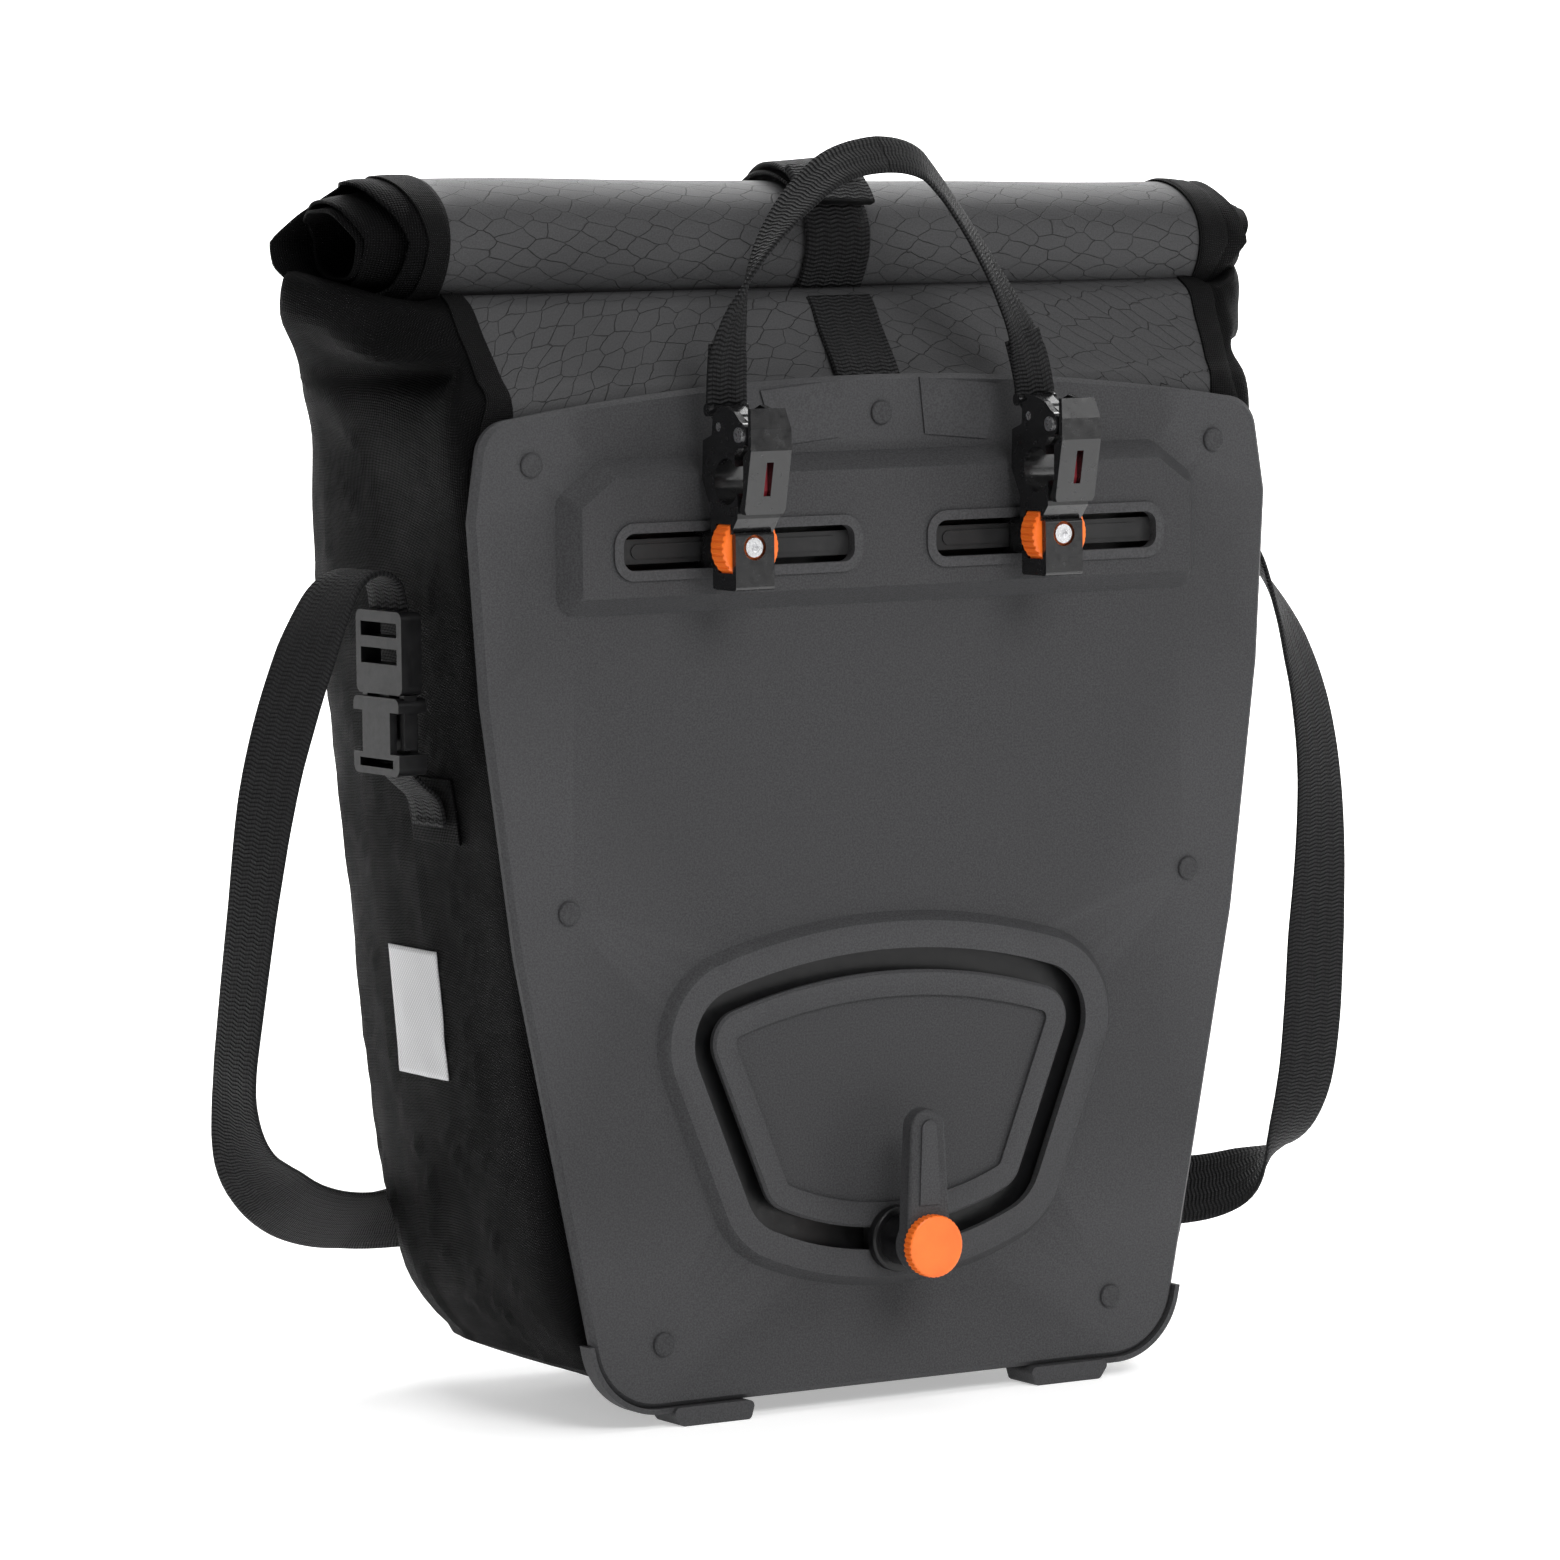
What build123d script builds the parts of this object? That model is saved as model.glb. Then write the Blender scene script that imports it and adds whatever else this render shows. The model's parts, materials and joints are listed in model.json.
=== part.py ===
"""Roll-top bicycle pannier bag: back panel with rail, two hooks and a stabiliser, soft body, straps.

Millimetres, +Z up. The hooks and the back panel face -Y, the bag's body lies towards +Y.
Z = 0 is the ground under the corner guards; the origin is the middle of the box at that height.
"depth" is measured from the panel's front plane, positive into the bag.
"""
from build123d import *
import math
import os

# ---- driving dimensions ----
PANEL_Y = -57.4            # Y of the panel's front plane
PANEL_THICK = 4.0
PANEL_BOTTOM = 7.0
PANEL_TOP = 366.5
FABRIC = 1.3
ROLL_DEPTH = 56.0          # depth of the roll's axis
ROLL_Z = 413.0
ROLL_HALF_X = 198.0
ROLL_HALF_Y = 29.0
ROLL_HALF_Z = 24.5
MOUTH_Z = 387.0            # top edge of the collar, under the roll
BASE_Z = 24.0              # seam between the walls and the base
WEB_WIDTH = 25.0
WEB_THICK = 2.0
HANDLE_WIDTH = 16.0
HANDLE_THICK = 2.5
HANDLE_DEPTH = -16.0

# hooks: X centre, rail height, jaw centre (depth, Z) and pins
HOOKS = {"left": -72.0, "right": 56.0}
HOOK_WIDTH = 17.0
RAIL_Z = 308.0
WHEEL_Z = 309.3
WHEEL_RADIUS = 11.4
WHEEL_FRONT = -29.5
WHEEL_BACK = -20.5
BOLT_RADIUS = 2.6
JAW_DEPTH = -27.5
JAW_Z = 332.2
TUBE_RADIUS = 8.0
JAW_PIVOT = (-36.5, 348.5)
LEVER_PIVOT = (-22.5, 351.0)
PIN_RADIUS = 1.6
RUNNING = 0.05             # radial clearance of a pin in its bore
GAP = 0.3                  # clearance between parts that move past each other

# stabiliser: an arm on a disc that follows the lower arc of the shield's groove
SWING_Z = 181.5
SWING_RADIUS = 122.0
FOOT_Z = SWING_Z - SWING_RADIUS
GROOVE = 8.0
RAISE = 4.0                # how far the shield and its ring stand proud

# side-release buckles of the shoulder strap
SIDES = {"left": -1.0, "right": 1.0}
BUCKLE_DEPTH = 51.4
BUCKLE_X = 171.0
BUCKLE_SPLIT = 258.0       # height of the joint between plug and socket
BUCKLE_WIDTH = 33.0
BUCKLE_THICK = 11.0
STRAP_TUBE = 3.6           # radius of a round tube with the strap's own section area

RIVETS = [(0.0, 353.0), (142.3, 339.0), (-142.3, 339.0), (129.8, 183.5),
          (-129.8, 183.5), (94.1, 29.5), (-94.1, 29.5)]

# route of one half of the shoulder strap: from the plug out, down and round to the middle of the back
STRAP_ROUTES = {
    "left": [(-171.0, -6.0, 288.0), (-171.0, -6.0, 297.5), (-180.0, -6.3, 303.0), (-191.0, -6.0, 298.0),
             (-200.0, -4.0, 280.0), (-208.0, -1.0, 256.0), (-215.0, 3.0, 226.0), (-219.0, 7.0, 188.0),
             (-222.5, 11.0, 150.0), (-224.0, 16.0, 120.0), (-214.0, 27.0, 94.0), (-190.0, 45.0, 75.0),
             (-160.0, 70.0, 64.0), (-128.0, 94.0, 58.5), (-84.0, 112.0, 58.0), (-40.0, 117.0, 61.0), (0.0, 117.0, 61.0)],
    "right": [(171.0, -6.0, 288.0), (171.0, -6.0, 298.5), (180.0, -6.3, 303.5), (191.0, -6.2, 298.0),
              (202.0, -5.8, 283.0), (213.0, -5.2, 264.0), (222.5, -4.0, 240.0), (228.5, -2.0, 212.0),
              (231.0, 1.0, 180.0), (231.5, 5.0, 148.0), (232.5, 9.0, 115.0), (232.0, 14.0, 86.0),
              (227.0, 23.0, 63.0), (215.0, 39.0, 49.5), (196.0, 60.0, 45.0), (168.0, 84.0, 46.5),
              (130.0, 105.0, 52.0), (84.0, 114.0, 57.5), (40.0, 117.0, 61.0), (0.0, 117.0, 61.0)],
}


# ---- drawing helpers ----
def outline(points):
    """Closed face through straight runs."""
    return make_face(Polyline(*points, close=True))


def mirrored(points):
    """Points of a right half from bottom to top, completed with their left half."""
    left = [(-x, z) for x, z in reversed(points) if x > 0]
    return points + left


def slab(face, front, back, taper=0.0):
    """Face drawn in X and Z, made solid from depth front to depth back, narrower in front by taper."""
    return extrude(Pos(0, PANEL_Y + back, 0) * (Plane.XZ * face), amount=back - front, taper=taper)


def bar(points, x_low, x_high, radius=0.0):
    """Closed profile of (depth, Z) points, made solid from x_low to x_high."""
    face = outline([(PANEL_Y + depth, z) for depth, z in points])
    if radius:
        face = fillet(face.vertices(), radius)
    return extrude(Pos(x_low, 0, 0) * (Plane.YZ * face), amount=x_high - x_low)


def block(x_low, x_high, front, back, z_low, z_high):
    """Plain box between two X values, two depths and two heights."""
    size = (x_high - x_low, back - front, z_high - z_low)
    centre = ((x_low + x_high) / 2, PANEL_Y + (front + back) / 2, (z_low + z_high) / 2)
    return Pos(*centre) * Box(*size)


def disc(x, z, radius, front, back):
    """Cylinder along Y between two depths."""
    centre = Pos(x, PANEL_Y + (front + back) / 2, z)
    return centre * Rot(90, 0, 0) * Cylinder(radius, back - front)


def pin(depth, z, radius, x_low, x_high):
    """Cylinder along X."""
    centre = Pos((x_low + x_high) / 2, PANEL_Y + depth, z)
    return centre * Rot(0, 90, 0) * Cylinder(radius, x_high - x_low)


def bolt_holes(radius, front, back):
    """One hole for each rivet."""
    return [disc(x, z, radius, front, back) for x, z in RIVETS]


def write(name, shape):
    shape.label = name
    export_step(shape, f"parts/{name}.step")


# ---- back panel ----
def panel_face(inset=0.0):
    """Outline of the panel: narrow foot, wide shoulders and an arched top."""
    right = [(117.5, PANEL_BOTTOM), (134, 88), (150, 168), (162, 258), (166, 320), (161, 353)]
    edges = []
    for side in (1, -1):
        edges.append(Polyline(*[(side * x, z) for x, z in right]))
    edges.append(Line((-117.5, PANEL_BOTTOM), (117.5, PANEL_BOTTOM)))
    edges.append(ThreePointArc((161, 353), (0, PANEL_TOP), (-161, 353)))
    face = make_face(edges)
    low = face.vertices().filter_by(lambda v: v.Y < 60)
    face = fillet(low, 26)
    high = face.vertices().filter_by(lambda v: v.Y > 345)
    face = fillet(high, 13)
    if inset:
        face = offset(face, -inset)
    return face


def shield_face(grow=0.0):
    """Inner outline of the shield: arcs above and below, sides that close downwards."""
    low_arc = SWING_RADIUS - GROOVE / 2
    swing = math.radians(26)
    corner = (low_arc * math.sin(swing), SWING_Z - low_arc * math.cos(swing))
    low = ThreePointArc((-corner[0], corner[1]), (0, SWING_Z - low_arc), corner)
    right = Line(corner, (78, 141))
    high = ThreePointArc((78, 141), (0, 155), (-78, 141))
    left = Line((-78, 141), (-corner[0], corner[1]))
    face = fillet(make_face([low, right, high, left]).vertices(), 12)
    if grow:
        face = offset(face, grow)
    return face


def housing_face(inset=0.0):
    """Raised field that carries the rail."""
    face = outline(mirrored([(133, 286), (133, 327), (115, 340)]))
    face = fillet(face.vertices(), 7)
    if inset:
        face = offset(face, -inset)
    return face


def slot_face(side, grow=0.0):
    width = 94 + 2 * grow
    height = 13 + 2 * grow
    return Pos(side * 64.0, RAIL_Z) * RectangleRounded(width, height, 4.5 + grow)


def back_panel():
    plate = slab(panel_face(), 0, PANEL_THICK)
    plate = chamfer(plate.faces().sort_by(Axis.Y)[0].edges(), 1.8)
    panel = plate + slab(housing_face(), -8, 0, taper=38)
    panel += slab(shield_face(GROOVE + 13), -RAISE, 0, taper=40)
    for side in (1, -1):
        panel += slab(slot_face(side, 3.5), -9, -7)
        tab = outline([(side * 18, 345), (side * 44, 342.5), (side * 50, 362), (side * 16, 365)])
        panel += slab(tab, -0.8, 0.5)
    panel -= slab(housing_face(9), -5, PANEL_THICK)
    for side in (1, -1):
        panel -= slab(slot_face(side), -10, 0)
    panel -= slab(shield_face(GROOVE), -RAISE - 1, PANEL_THICK)
    panel -= slab(shield_face(GROOVE + 3), -1, PANEL_THICK)
    panel -= Compound(bolt_holes(2.5, -3, PANEL_THICK + 1))
    return panel


def shield_plate():
    """Middle of the shield, with a shallow pressed field."""
    plate = slab(shield_face(), -RAISE, -1)
    plate = chamfer(plate.faces().sort_by(Axis.Y)[0].edges(), 1.0)
    plate += slab(shield_face(-3), -1, PANEL_THICK)
    plate -= slab(shield_face(-9), -RAISE - 1, -RAISE + 1.4)
    plate -= slab(shield_face(-8), 0, PANEL_THICK)
    return plate


def stabiliser_track():
    """Cover behind the groove, which the sliding nut runs against."""
    return slab(shield_face(GROOVE + 10), PANEL_THICK, PANEL_THICK + 2)


def hook_rail():
    """T-rail behind both slots: back wall, web and flange, closed between the slots and at the ends."""
    rail = block(-118, 118, 1.6, 3.8, 297, 319)
    for side in (1, -1):
        low, high = sorted((side * 17, side * 111))
        rail += block(low, high, -3, 1.6, RAIL_Z - 2, RAIL_Z + 2)
        rail += block(low, high, -5, -3, RAIL_Z - 4.3, RAIL_Z + 4.3)
        rib = Pos(side * 64, RAIL_Z) * SlotOverall(84, 5)
        rail += slab(rib, -5.5, -5)
        end_low, end_high = sorted((side * 111, side * 118))
        rail += block(end_low, end_high, -4.8, 1.6, 300, 316)
    rail += block(-17, 17, -4.8, 1.6, 300, 316)
    return rail


def panel_rivets():
    rivets = []
    for x, z in RIVETS:
        head = disc(x, z, 4.25, -1.5, 0)
        head = fillet(head.faces().sort_by(Axis.Y)[0].edges(), 1.0)
        rivets.append(head + disc(x, z, 2.4, 0, 11.2))
    return Compound(rivets)


def rivet_washers():
    return Compound([disc(x, z, 5.0, 9.9, 10.9) - disc(x, z, 2.5, 9, 12) for x, z in RIVETS])


def inner_stiffener():
    sheet = slab(panel_face(16), 8.1, 9.6) & block(-200, 200, 0, 20, BASE_Z + 4.5, 347)
    sheet -= Compound(bolt_holes(2.5, 7, 11))
    return sheet


def corner_guard(side):
    """Moulded foot that wraps the lower corner of the panel."""
    foot = outline([(side * x, z) for x, z in [(60, 0), (88, 0), (93, 6.8), (58, 6.8)]])
    guard = slab(fillet(foot.vertices(), 2), -2.5, 15)
    rim = panel_face(-2.0) - panel_face(-0.1)
    low, high = sorted((side * 88, side * 140))
    wing = slab(rim, -1, 6.2) & block(low, high, -5, 20, 0, 31)
    return guard + wing


# ---- soft body ----
def section(half_x, front, back, z, front_radius, back_radius, inset=0.0):
    """Level cut of the soft body: rounded rectangle with larger corners on the outer side."""
    x = half_x - inset
    y_low = PANEL_Y + front + inset
    y_high = PANEL_Y + back - inset
    face = outline([(-x, y_low), (x, y_low), (x, y_high), (-x, y_high)])
    low = face.vertices().filter_by(lambda v: v.Y < y_low + 1)
    face = fillet(low, front_radius - inset)
    high = face.vertices().filter_by(lambda v: v.Y > y_high - 1)
    face = fillet(high, back_radius - inset)
    return Pos(0, 0, z) * face


# half width, front depth, back depth, height, front and back corner radius
BASE_SECTION = (121, 6.5, 134, BASE_Z, 10, 32)
WAIST_SECTION = (163, 6.5, 150, 315, 10, 44)
BODY_SECTIONS = [BASE_SECTION, (134, 6.5, 150, 56, 10, 44), (151, 6.5, 156, 200, 10, 48), WAIST_SECTION]
COLLAR_SECTIONS = [WAIST_SECTION, (173, 6.5, 128, 361, 10, 34), (190, 24, 86, MOUTH_Z, 9, 16)]
SAG = (56, 42, 104)        # half width, front and back depth of the base's lowest field
SAG_RADII = (10, 26)


def tube(sections, low_extra, high_extra):
    """Open tube of fabric through level sections."""
    outer = loft([section(*values) for values in sections], ruled=True)
    inner = []
    for number, values in enumerate(sections):
        shift = -low_extra if number == 0 else high_extra if number == len(sections) - 1 else 0
        inner.append(Pos(0, 0, shift) * section(*values, inset=FABRIC))
    return outer - loft(inner, ruled=True)


def body_shell():
    return tube(BODY_SECTIONS, 1.0, 1.0)


def collar_shell():
    return tube(COLLAR_SECTIONS, 1.0, 1.0)


def cut_walls(shell, front_depth, rear_depth, z_low, z_high):
    """Front, rear, left and right walls of a tube, cut at two depths."""
    front = shell & block(-260, 260, -20, front_depth, z_low, z_high)
    rear = shell & block(-260, 260, rear_depth, 260, z_low, z_high)
    left = shell & block(-260, 0, front_depth, rear_depth, z_low, z_high)
    right = shell & block(0, 260, front_depth, rear_depth, z_low, z_high)
    return front, rear, left, right


def base_fabric():
    """Floor of the bag: sewn to the walls at their lower edge, sagging to the ground in the middle."""
    half_x, front, back = SAG
    outer = loft([section(half_x, front, back, 0, *SAG_RADII), section(*BASE_SECTION)], ruled=True)
    inner_low = section(half_x, front, back, FABRIC, *SAG_RADII, inset=FABRIC)
    inner_high = Pos(0, 0, 1) * section(*BASE_SECTION, inset=2 * FABRIC)
    return outer - loft([inner_low, inner_high], ruled=True)


def base_board():
    """Stiff sheet that spans the base above its sag."""
    return Pos(0, 0, BASE_Z + 2.5) * extrude(section(104, 14, 122, 0, 8, 26), amount=1.5)


# ---- roll top and closure ----
def roll_profile(grow):
    centre = Pos(PANEL_Y + ROLL_DEPTH, ROLL_Z)
    return centre * Ellipse(ROLL_HALF_Y + grow, ROLL_HALF_Z + grow)


def along_x(face, x_low, x_high):
    return extrude(Pos(x_low, 0, 0) * (Plane.YZ * face), amount=x_high - x_low)


def rolled_top():
    """Closed solid of the rolled mouth, hollow for its slat."""
    roll = along_x(roll_profile(0), -ROLL_HALF_X, ROLL_HALF_X)
    return roll - block(-151, 151, ROLL_DEPTH - 11.5, ROLL_DEPTH + 11.5, ROLL_Z - 2, ROLL_Z + 2)


def top_slat():
    """Stiff slat that the mouth is rolled around."""
    return block(-150, 150, ROLL_DEPTH - 11, ROLL_DEPTH + 11, ROLL_Z - 1.5, ROLL_Z + 1.5)


def closure_strap_top():
    """Webbing over the roll, from the collar in front to the buckle behind."""
    half = WEB_WIDTH / 2
    band = along_x(roll_profile(0.4 + WEB_THICK) - roll_profile(0.4), -half, half)
    band -= block(-20, 20, 0, 120, 300, 393)
    tail = block(-half, half, 44, 72, ROLL_Z + ROLL_HALF_Z + 2.8, ROLL_Z + ROLL_HALF_Z + 4.8)
    return Compound([band, tail])


def closure_strap_front():
    """Webbing that lies on the collar, sewn under the panel's top edge."""
    half = WEB_WIDTH / 2
    strap = bar([(4.3, 345), (6.2, 345), (6.2, 361.3), (23.6, 387.2), (21.6, 387.2), (4.3, 361.8)], -half, half)
    return strap - disc(0, RIVETS[0][1], 2.5, 0, 10)


def closure_strap_outer():
    """Webbing down the outer face, from the buckle socket to its seam."""
    half = WEB_WIDTH / 2
    return bar([(156.4, 202), (150.5, 315.3), (128.6, 361.7), (112.6, 371.6), (113.8, 373.3),
                (130.0, 363.3), (152.4, 316.0), (158.4, 202)], -half, half)


def closure_buckle_plug():
    """Male half of the closure buckle, at the back of the roll."""
    return bar([(94.4, 382.7), (97.0, 386.9), (90.6, 404), (87.6, 403)], -16, 16)


def closure_buckle_socket():
    """Female half of the closure buckle, lying on the collar's slope."""
    return bar([(112.2, 371.9), (95.5, 382.2), (98.0, 386.3), (114.9, 375.9)], -18, 18, radius=0.8)


# ---- hooks ----
def hook_body(x):
    """Seat for the rack's tube above, block with the clamp's thumbwheel below."""
    half = HOOK_WIDTH / 2
    low = bar([(-16.5, 294.5), (-32, 294.5), (-32, 314.5), (-16.5, 314.5)], x - 7.8, x + 7.8, radius=1.2)
    seat = bar([(-16.5, 312), (-28, 312), (-34.6, 319.5), (-34.8, 326), (-33, 341), (-36.5, 344.5),
                (-38, 352.5), (-33, 356.4), (-26, 358.2), (-19, 355.5), (-18, 348),
                (-12, 346), (-11.3, 332.5), (-16.5, 323)], x - half, x + half)
    body = low + seat + pin(*JAW_PIVOT, 4.6, x - half, x + half)
    body -= pin(JAW_DEPTH, JAW_Z, TUBE_RADIUS, x - 20, x + 20)
    body -= bar([(-50, 340.9), (-33, 340.9), (-29, 344.5), (-27, 346.5), (-5, 346.5), (-5, 370), (-50, 370)],
                x - 6.2, x + 6.2)
    body -= bar([(-45, 314.6), (-34.7, 314.6), (-34.7, 341.5), (-45, 341.5)], x - 20, x + 20)
    body -= disc(x, WHEEL_Z, WHEEL_RADIUS + GAP + 0.1, WHEEL_FRONT - GAP, WHEEL_BACK + GAP)
    body -= disc(x, WHEEL_Z, 4.4, -40, WHEEL_FRONT)
    body -= disc(x, WHEEL_Z, BOLT_RADIUS + RUNNING, WHEEL_BACK, -10)
    for depth, z in (JAW_PIVOT, LEVER_PIVOT):
        body -= pin(depth, z, PIN_RADIUS, x - 20, x + 20)
    return body


def pivot_pins(x):
    """Screw of the front jaw and pin of the release lever."""
    screw = pin(*JAW_PIVOT, PIN_RADIUS, x - 8.5, x + 8.5)
    head = pin(*JAW_PIVOT, 2.6, x - 9.3, x - 8.5)
    lever_pin = pin(*LEVER_PIVOT, PIN_RADIUS, x - 8.5, x + 8.5)
    return Compound([screw + head, lever_pin])


def front_jaw(x):
    """Plate that hangs in front of the tube and swings out on the screw."""
    plate = bar([(-38.8, 321), (-43.6, 343), (-43.6, 350.5), (-41.6, 357.5), (-39.8, 357.5), (-41.6, 350.5),
                 (-41.6, 343.6), (-38.2, 341), (-38.2, 329), (-35.6, 323), (-36.2, 321)], x - 8.2, x + 8.2)
    front = outline([(x + wide, z) for wide, z in mirrored([(7.0, 320), (8.2, 322.5), (8.2, 350), (6.9, 358)])])
    lug = bar([(-42.2, 344), (-42.2, 351), (-35, 354.6), (-31, 355.4), (-31, 346), (-36.4, 343.2)],
              x - 5.9, x + 5.9)
    jaw = (plate & slab(front, -50, -30)) + lug + pin(*JAW_PIVOT, 4.6, x - 5.9, x + 5.9)
    jaw -= pin(*JAW_PIVOT, PIN_RADIUS + RUNNING, x - 10, x + 10)
    jaw -= block(x - 1.3, x + 1.5, -50, -37, 327.3, 339)
    return jaw


def jaw_pad(x):
    """Red wear pad in the jaw, which the tube bears on."""
    pad = bar([(-38.2, 329.2), (-38.2, 340.8), (-35.9, 338.5), (-35.9, 326.5), (-37, 326.3)], x - 5.6, x + 5.6)
    return pad - pin(JAW_DEPTH, JAW_Z, TUBE_RADIUS + 0.2, x - 10, x + 10)


def release_lever(x):
    """Bell crank that carries the handle's webbing on its bar."""
    lever = pin(*LEVER_PIVOT, 3.4, x - 5.9, x + 5.9)
    lever += bar([(-20.9, 348.3), (-13.0, 354.4), (-15.2, 358.4), (-23.6, 354.0)], x - 5.9, x + 5.9)
    lever += pin(-14.0, 356.5, 2.2, x - 8.0, x + 8.0)
    lever -= pin(*LEVER_PIVOT, PIN_RADIUS + RUNNING, x - 10, x + 10)
    return lever


def thumbwheel(x):
    """Serrated wheel on the clamp's bolt."""
    wheel = disc(x, WHEEL_Z, WHEEL_RADIUS, WHEEL_FRONT, WHEEL_BACK)
    wheel = chamfer(wheel.edges().filter_by(GeomType.CIRCLE), 0.8)
    teeth = 30
    for number in range(teeth):
        angle = 2 * math.pi * number / teeth
        notch_x = x + (WHEEL_RADIUS + 0.35) * math.cos(angle)
        notch_z = WHEEL_Z + (WHEEL_RADIUS + 0.35) * math.sin(angle)
        wheel -= disc(notch_x, notch_z, 0.75, WHEEL_FRONT - 1, WHEEL_BACK + 1)
    return wheel - disc(x, WHEEL_Z, BOLT_RADIUS, -40, 0)


def clamp_bolt(x):
    shaft = disc(x, WHEEL_Z, BOLT_RADIUS, WHEEL_FRONT, -8.0)
    head = disc(x, WHEEL_Z, 3.4, WHEEL_FRONT - 2.2, WHEEL_FRONT)
    socket = Pos(x, WHEEL_Z) * RegularPolygon(1.7, 6)
    return shaft + head - slab(socket, WHEEL_FRONT - 3, WHEEL_FRONT - 0.8)


def rail_clamp(x):
    """Claw that the bolt draws against the back of the rail's flange."""
    claw = block(x - 6.5, x + 6.5, -16.2, -1.3, RAIL_Z - 6.2, RAIL_Z + 6.2)
    claw -= block(x - 10, x + 10, -6.4, -2.7, RAIL_Z - 4.6, RAIL_Z + 4.6)
    claw -= block(x - 10, x + 10, -3, 0, RAIL_Z - 2.3, RAIL_Z + 2.3)
    return claw - disc(x, WHEEL_Z, BOLT_RADIUS + RUNNING, -20, -7)


# ---- stabiliser ----
def stabiliser_foot():
    """Disc and hub that slide along the groove."""
    foot = disc(0, FOOT_Z, 11.8, -8.2, -RAISE - GAP)
    foot = fillet(foot.faces().sort_by(Axis.Y)[0].edges(), 1.2)
    foot += disc(0, FOOT_Z, 9.0, -20.2, -8.2)
    foot += disc(0, FOOT_Z, 3.6, -RAISE - GAP, -1.2)
    return foot - disc(0, FOOT_Z, BOLT_RADIUS + RUNNING, -30, 10)


def stabiliser_arm():
    """Arm that bears on the rack's leg, turned by hand once the knob is loose."""
    face = outline([(-9.2, FOOT_Z), (-7.0, 101), (7.0, 101), (9.2, FOOT_Z)])
    arm = slab(face, -26.5, -20.5) + disc(0, 101, 7.0, -26.5, -20.5) + disc(0, FOOT_Z, 10.4, -26.5, -20.5)
    front = arm.faces().sort_by(Axis.Y)[0]
    arm = fillet(front.edges(), 1.3)
    inset = outline([(-4.2, 74), (-3.0, 101), (3.0, 101), (4.2, 74)]) + Pos(0, 101) * Circle(3.0)
    arm += slab(inset, -27.3, -26)
    return arm - disc(0, FOOT_Z, BOLT_RADIUS + RUNNING, -30, -10)


def stabiliser_knob():
    knob = disc(0, FOOT_Z, 11.1, -31.2, -26.9)
    knob = fillet(knob.faces().sort_by(Axis.Y)[0].edges(), 1.0)
    teeth = 36
    for number in range(teeth):
        angle = 2 * math.pi * number / teeth
        notch_x = 11.5 * math.cos(angle)
        notch_z = FOOT_Z + 11.5 * math.sin(angle)
        knob -= disc(notch_x, notch_z, 0.75, -34, -26)
    return knob - disc(0, FOOT_Z, BOLT_RADIUS, -29.4, -20)


def knob_bolt():
    return disc(0, FOOT_Z, BOLT_RADIUS, -29.4, 2.6)


def track_nut():
    """Nut under the lips of the groove."""
    nut = block(-9, 9, -0.7, 3.2, FOOT_Z - 5.5, FOOT_Z + 5.5)
    nut = fillet(nut.edges().filter_by(Axis.Y), 2)
    return nut - disc(0, FOOT_Z, BOLT_RADIUS + RUNNING, -5, 5)


# ---- handle and shoulder strap ----
def inner_arch(points, middle):
    """Same arch, moved in by the webbing's thickness."""
    inner = []
    for number, (x, z) in enumerate(points):
        before = points[max(number - 1, 0)]
        after = points[min(number + 1, len(points) - 1)]
        run = (after[0] - before[0], after[1] - before[1])
        length = math.hypot(*run)
        if number in (0, len(points) - 1):
            inner.append((x + math.copysign(HANDLE_THICK, middle - x), z))
        else:
            inner.append((x + HANDLE_THICK * run[1] / length, z - HANDLE_THICK * run[0] / length))
    return inner


def carry_handle():
    """Arch of webbing between the release levers; its ends stop just above them."""
    left, right = HOOKS["left"], HOOKS["right"]
    middle = (left + right) / 2
    outer = [(left, 364.0), (left + 4, 390), (left + 22, 421), (middle, 443),
             (right - 22, 421), (right - 4, 390), (right, 364.0)]
    inner = inner_arch(outer, middle)
    band = make_face([Spline(*outer), Spline(*inner), Line(outer[0], inner[0]), Line(outer[-1], inner[-1])])
    return slab(band, HANDLE_DEPTH - HANDLE_WIDTH / 2, HANDLE_DEPTH + HANDLE_WIDTH / 2)


def side_block(side, x_low, x_high, front, back, z_low, z_high):
    """Box on one side of the bag, with X measured outwards."""
    low, high = sorted((side * x_low, side * x_high))
    return block(low, high, front, back, z_low, z_high)


def buckle_plug(side):
    """Frame with a ladder bar above, two prongs and a guide below."""
    centre = BUCKLE_X
    half = BUCKLE_WIDTH / 2
    low, high = centre - BUCKLE_THICK / 2, centre + BUCKLE_THICK / 2
    top = BUCKLE_SPLIT + 30
    frame = side_block(side, low + 1.5, high - 1.5, BUCKLE_DEPTH - half, BUCKLE_DEPTH + half,
                       BUCKLE_SPLIT + 1, top)
    frame = fillet(frame.edges().filter_by(Axis.X), 3)
    for z_low, z_high in ((top - 9, top - 4), (top - 18.5, top - 13)):
        frame -= side_block(side, 0, 300, BUCKLE_DEPTH - 13, BUCKLE_DEPTH + 13, z_low, z_high)
    for edge in (-1, 1):
        prong_low, prong_high = sorted((BUCKLE_DEPTH + edge * (half - 1.3), BUCKLE_DEPTH + edge * (half - 4.8)))
        frame += side_block(side, centre - 2.4, centre + 2.4, prong_low, prong_high, BUCKLE_SPLIT - 18,
                            BUCKLE_SPLIT + 1)
    frame += side_block(side, centre - 1.5, centre + 1.5, BUCKLE_DEPTH - 2.5, BUCKLE_DEPTH + 2.5,
                        BUCKLE_SPLIT - 16, BUCKLE_SPLIT + 1)
    return frame


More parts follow.
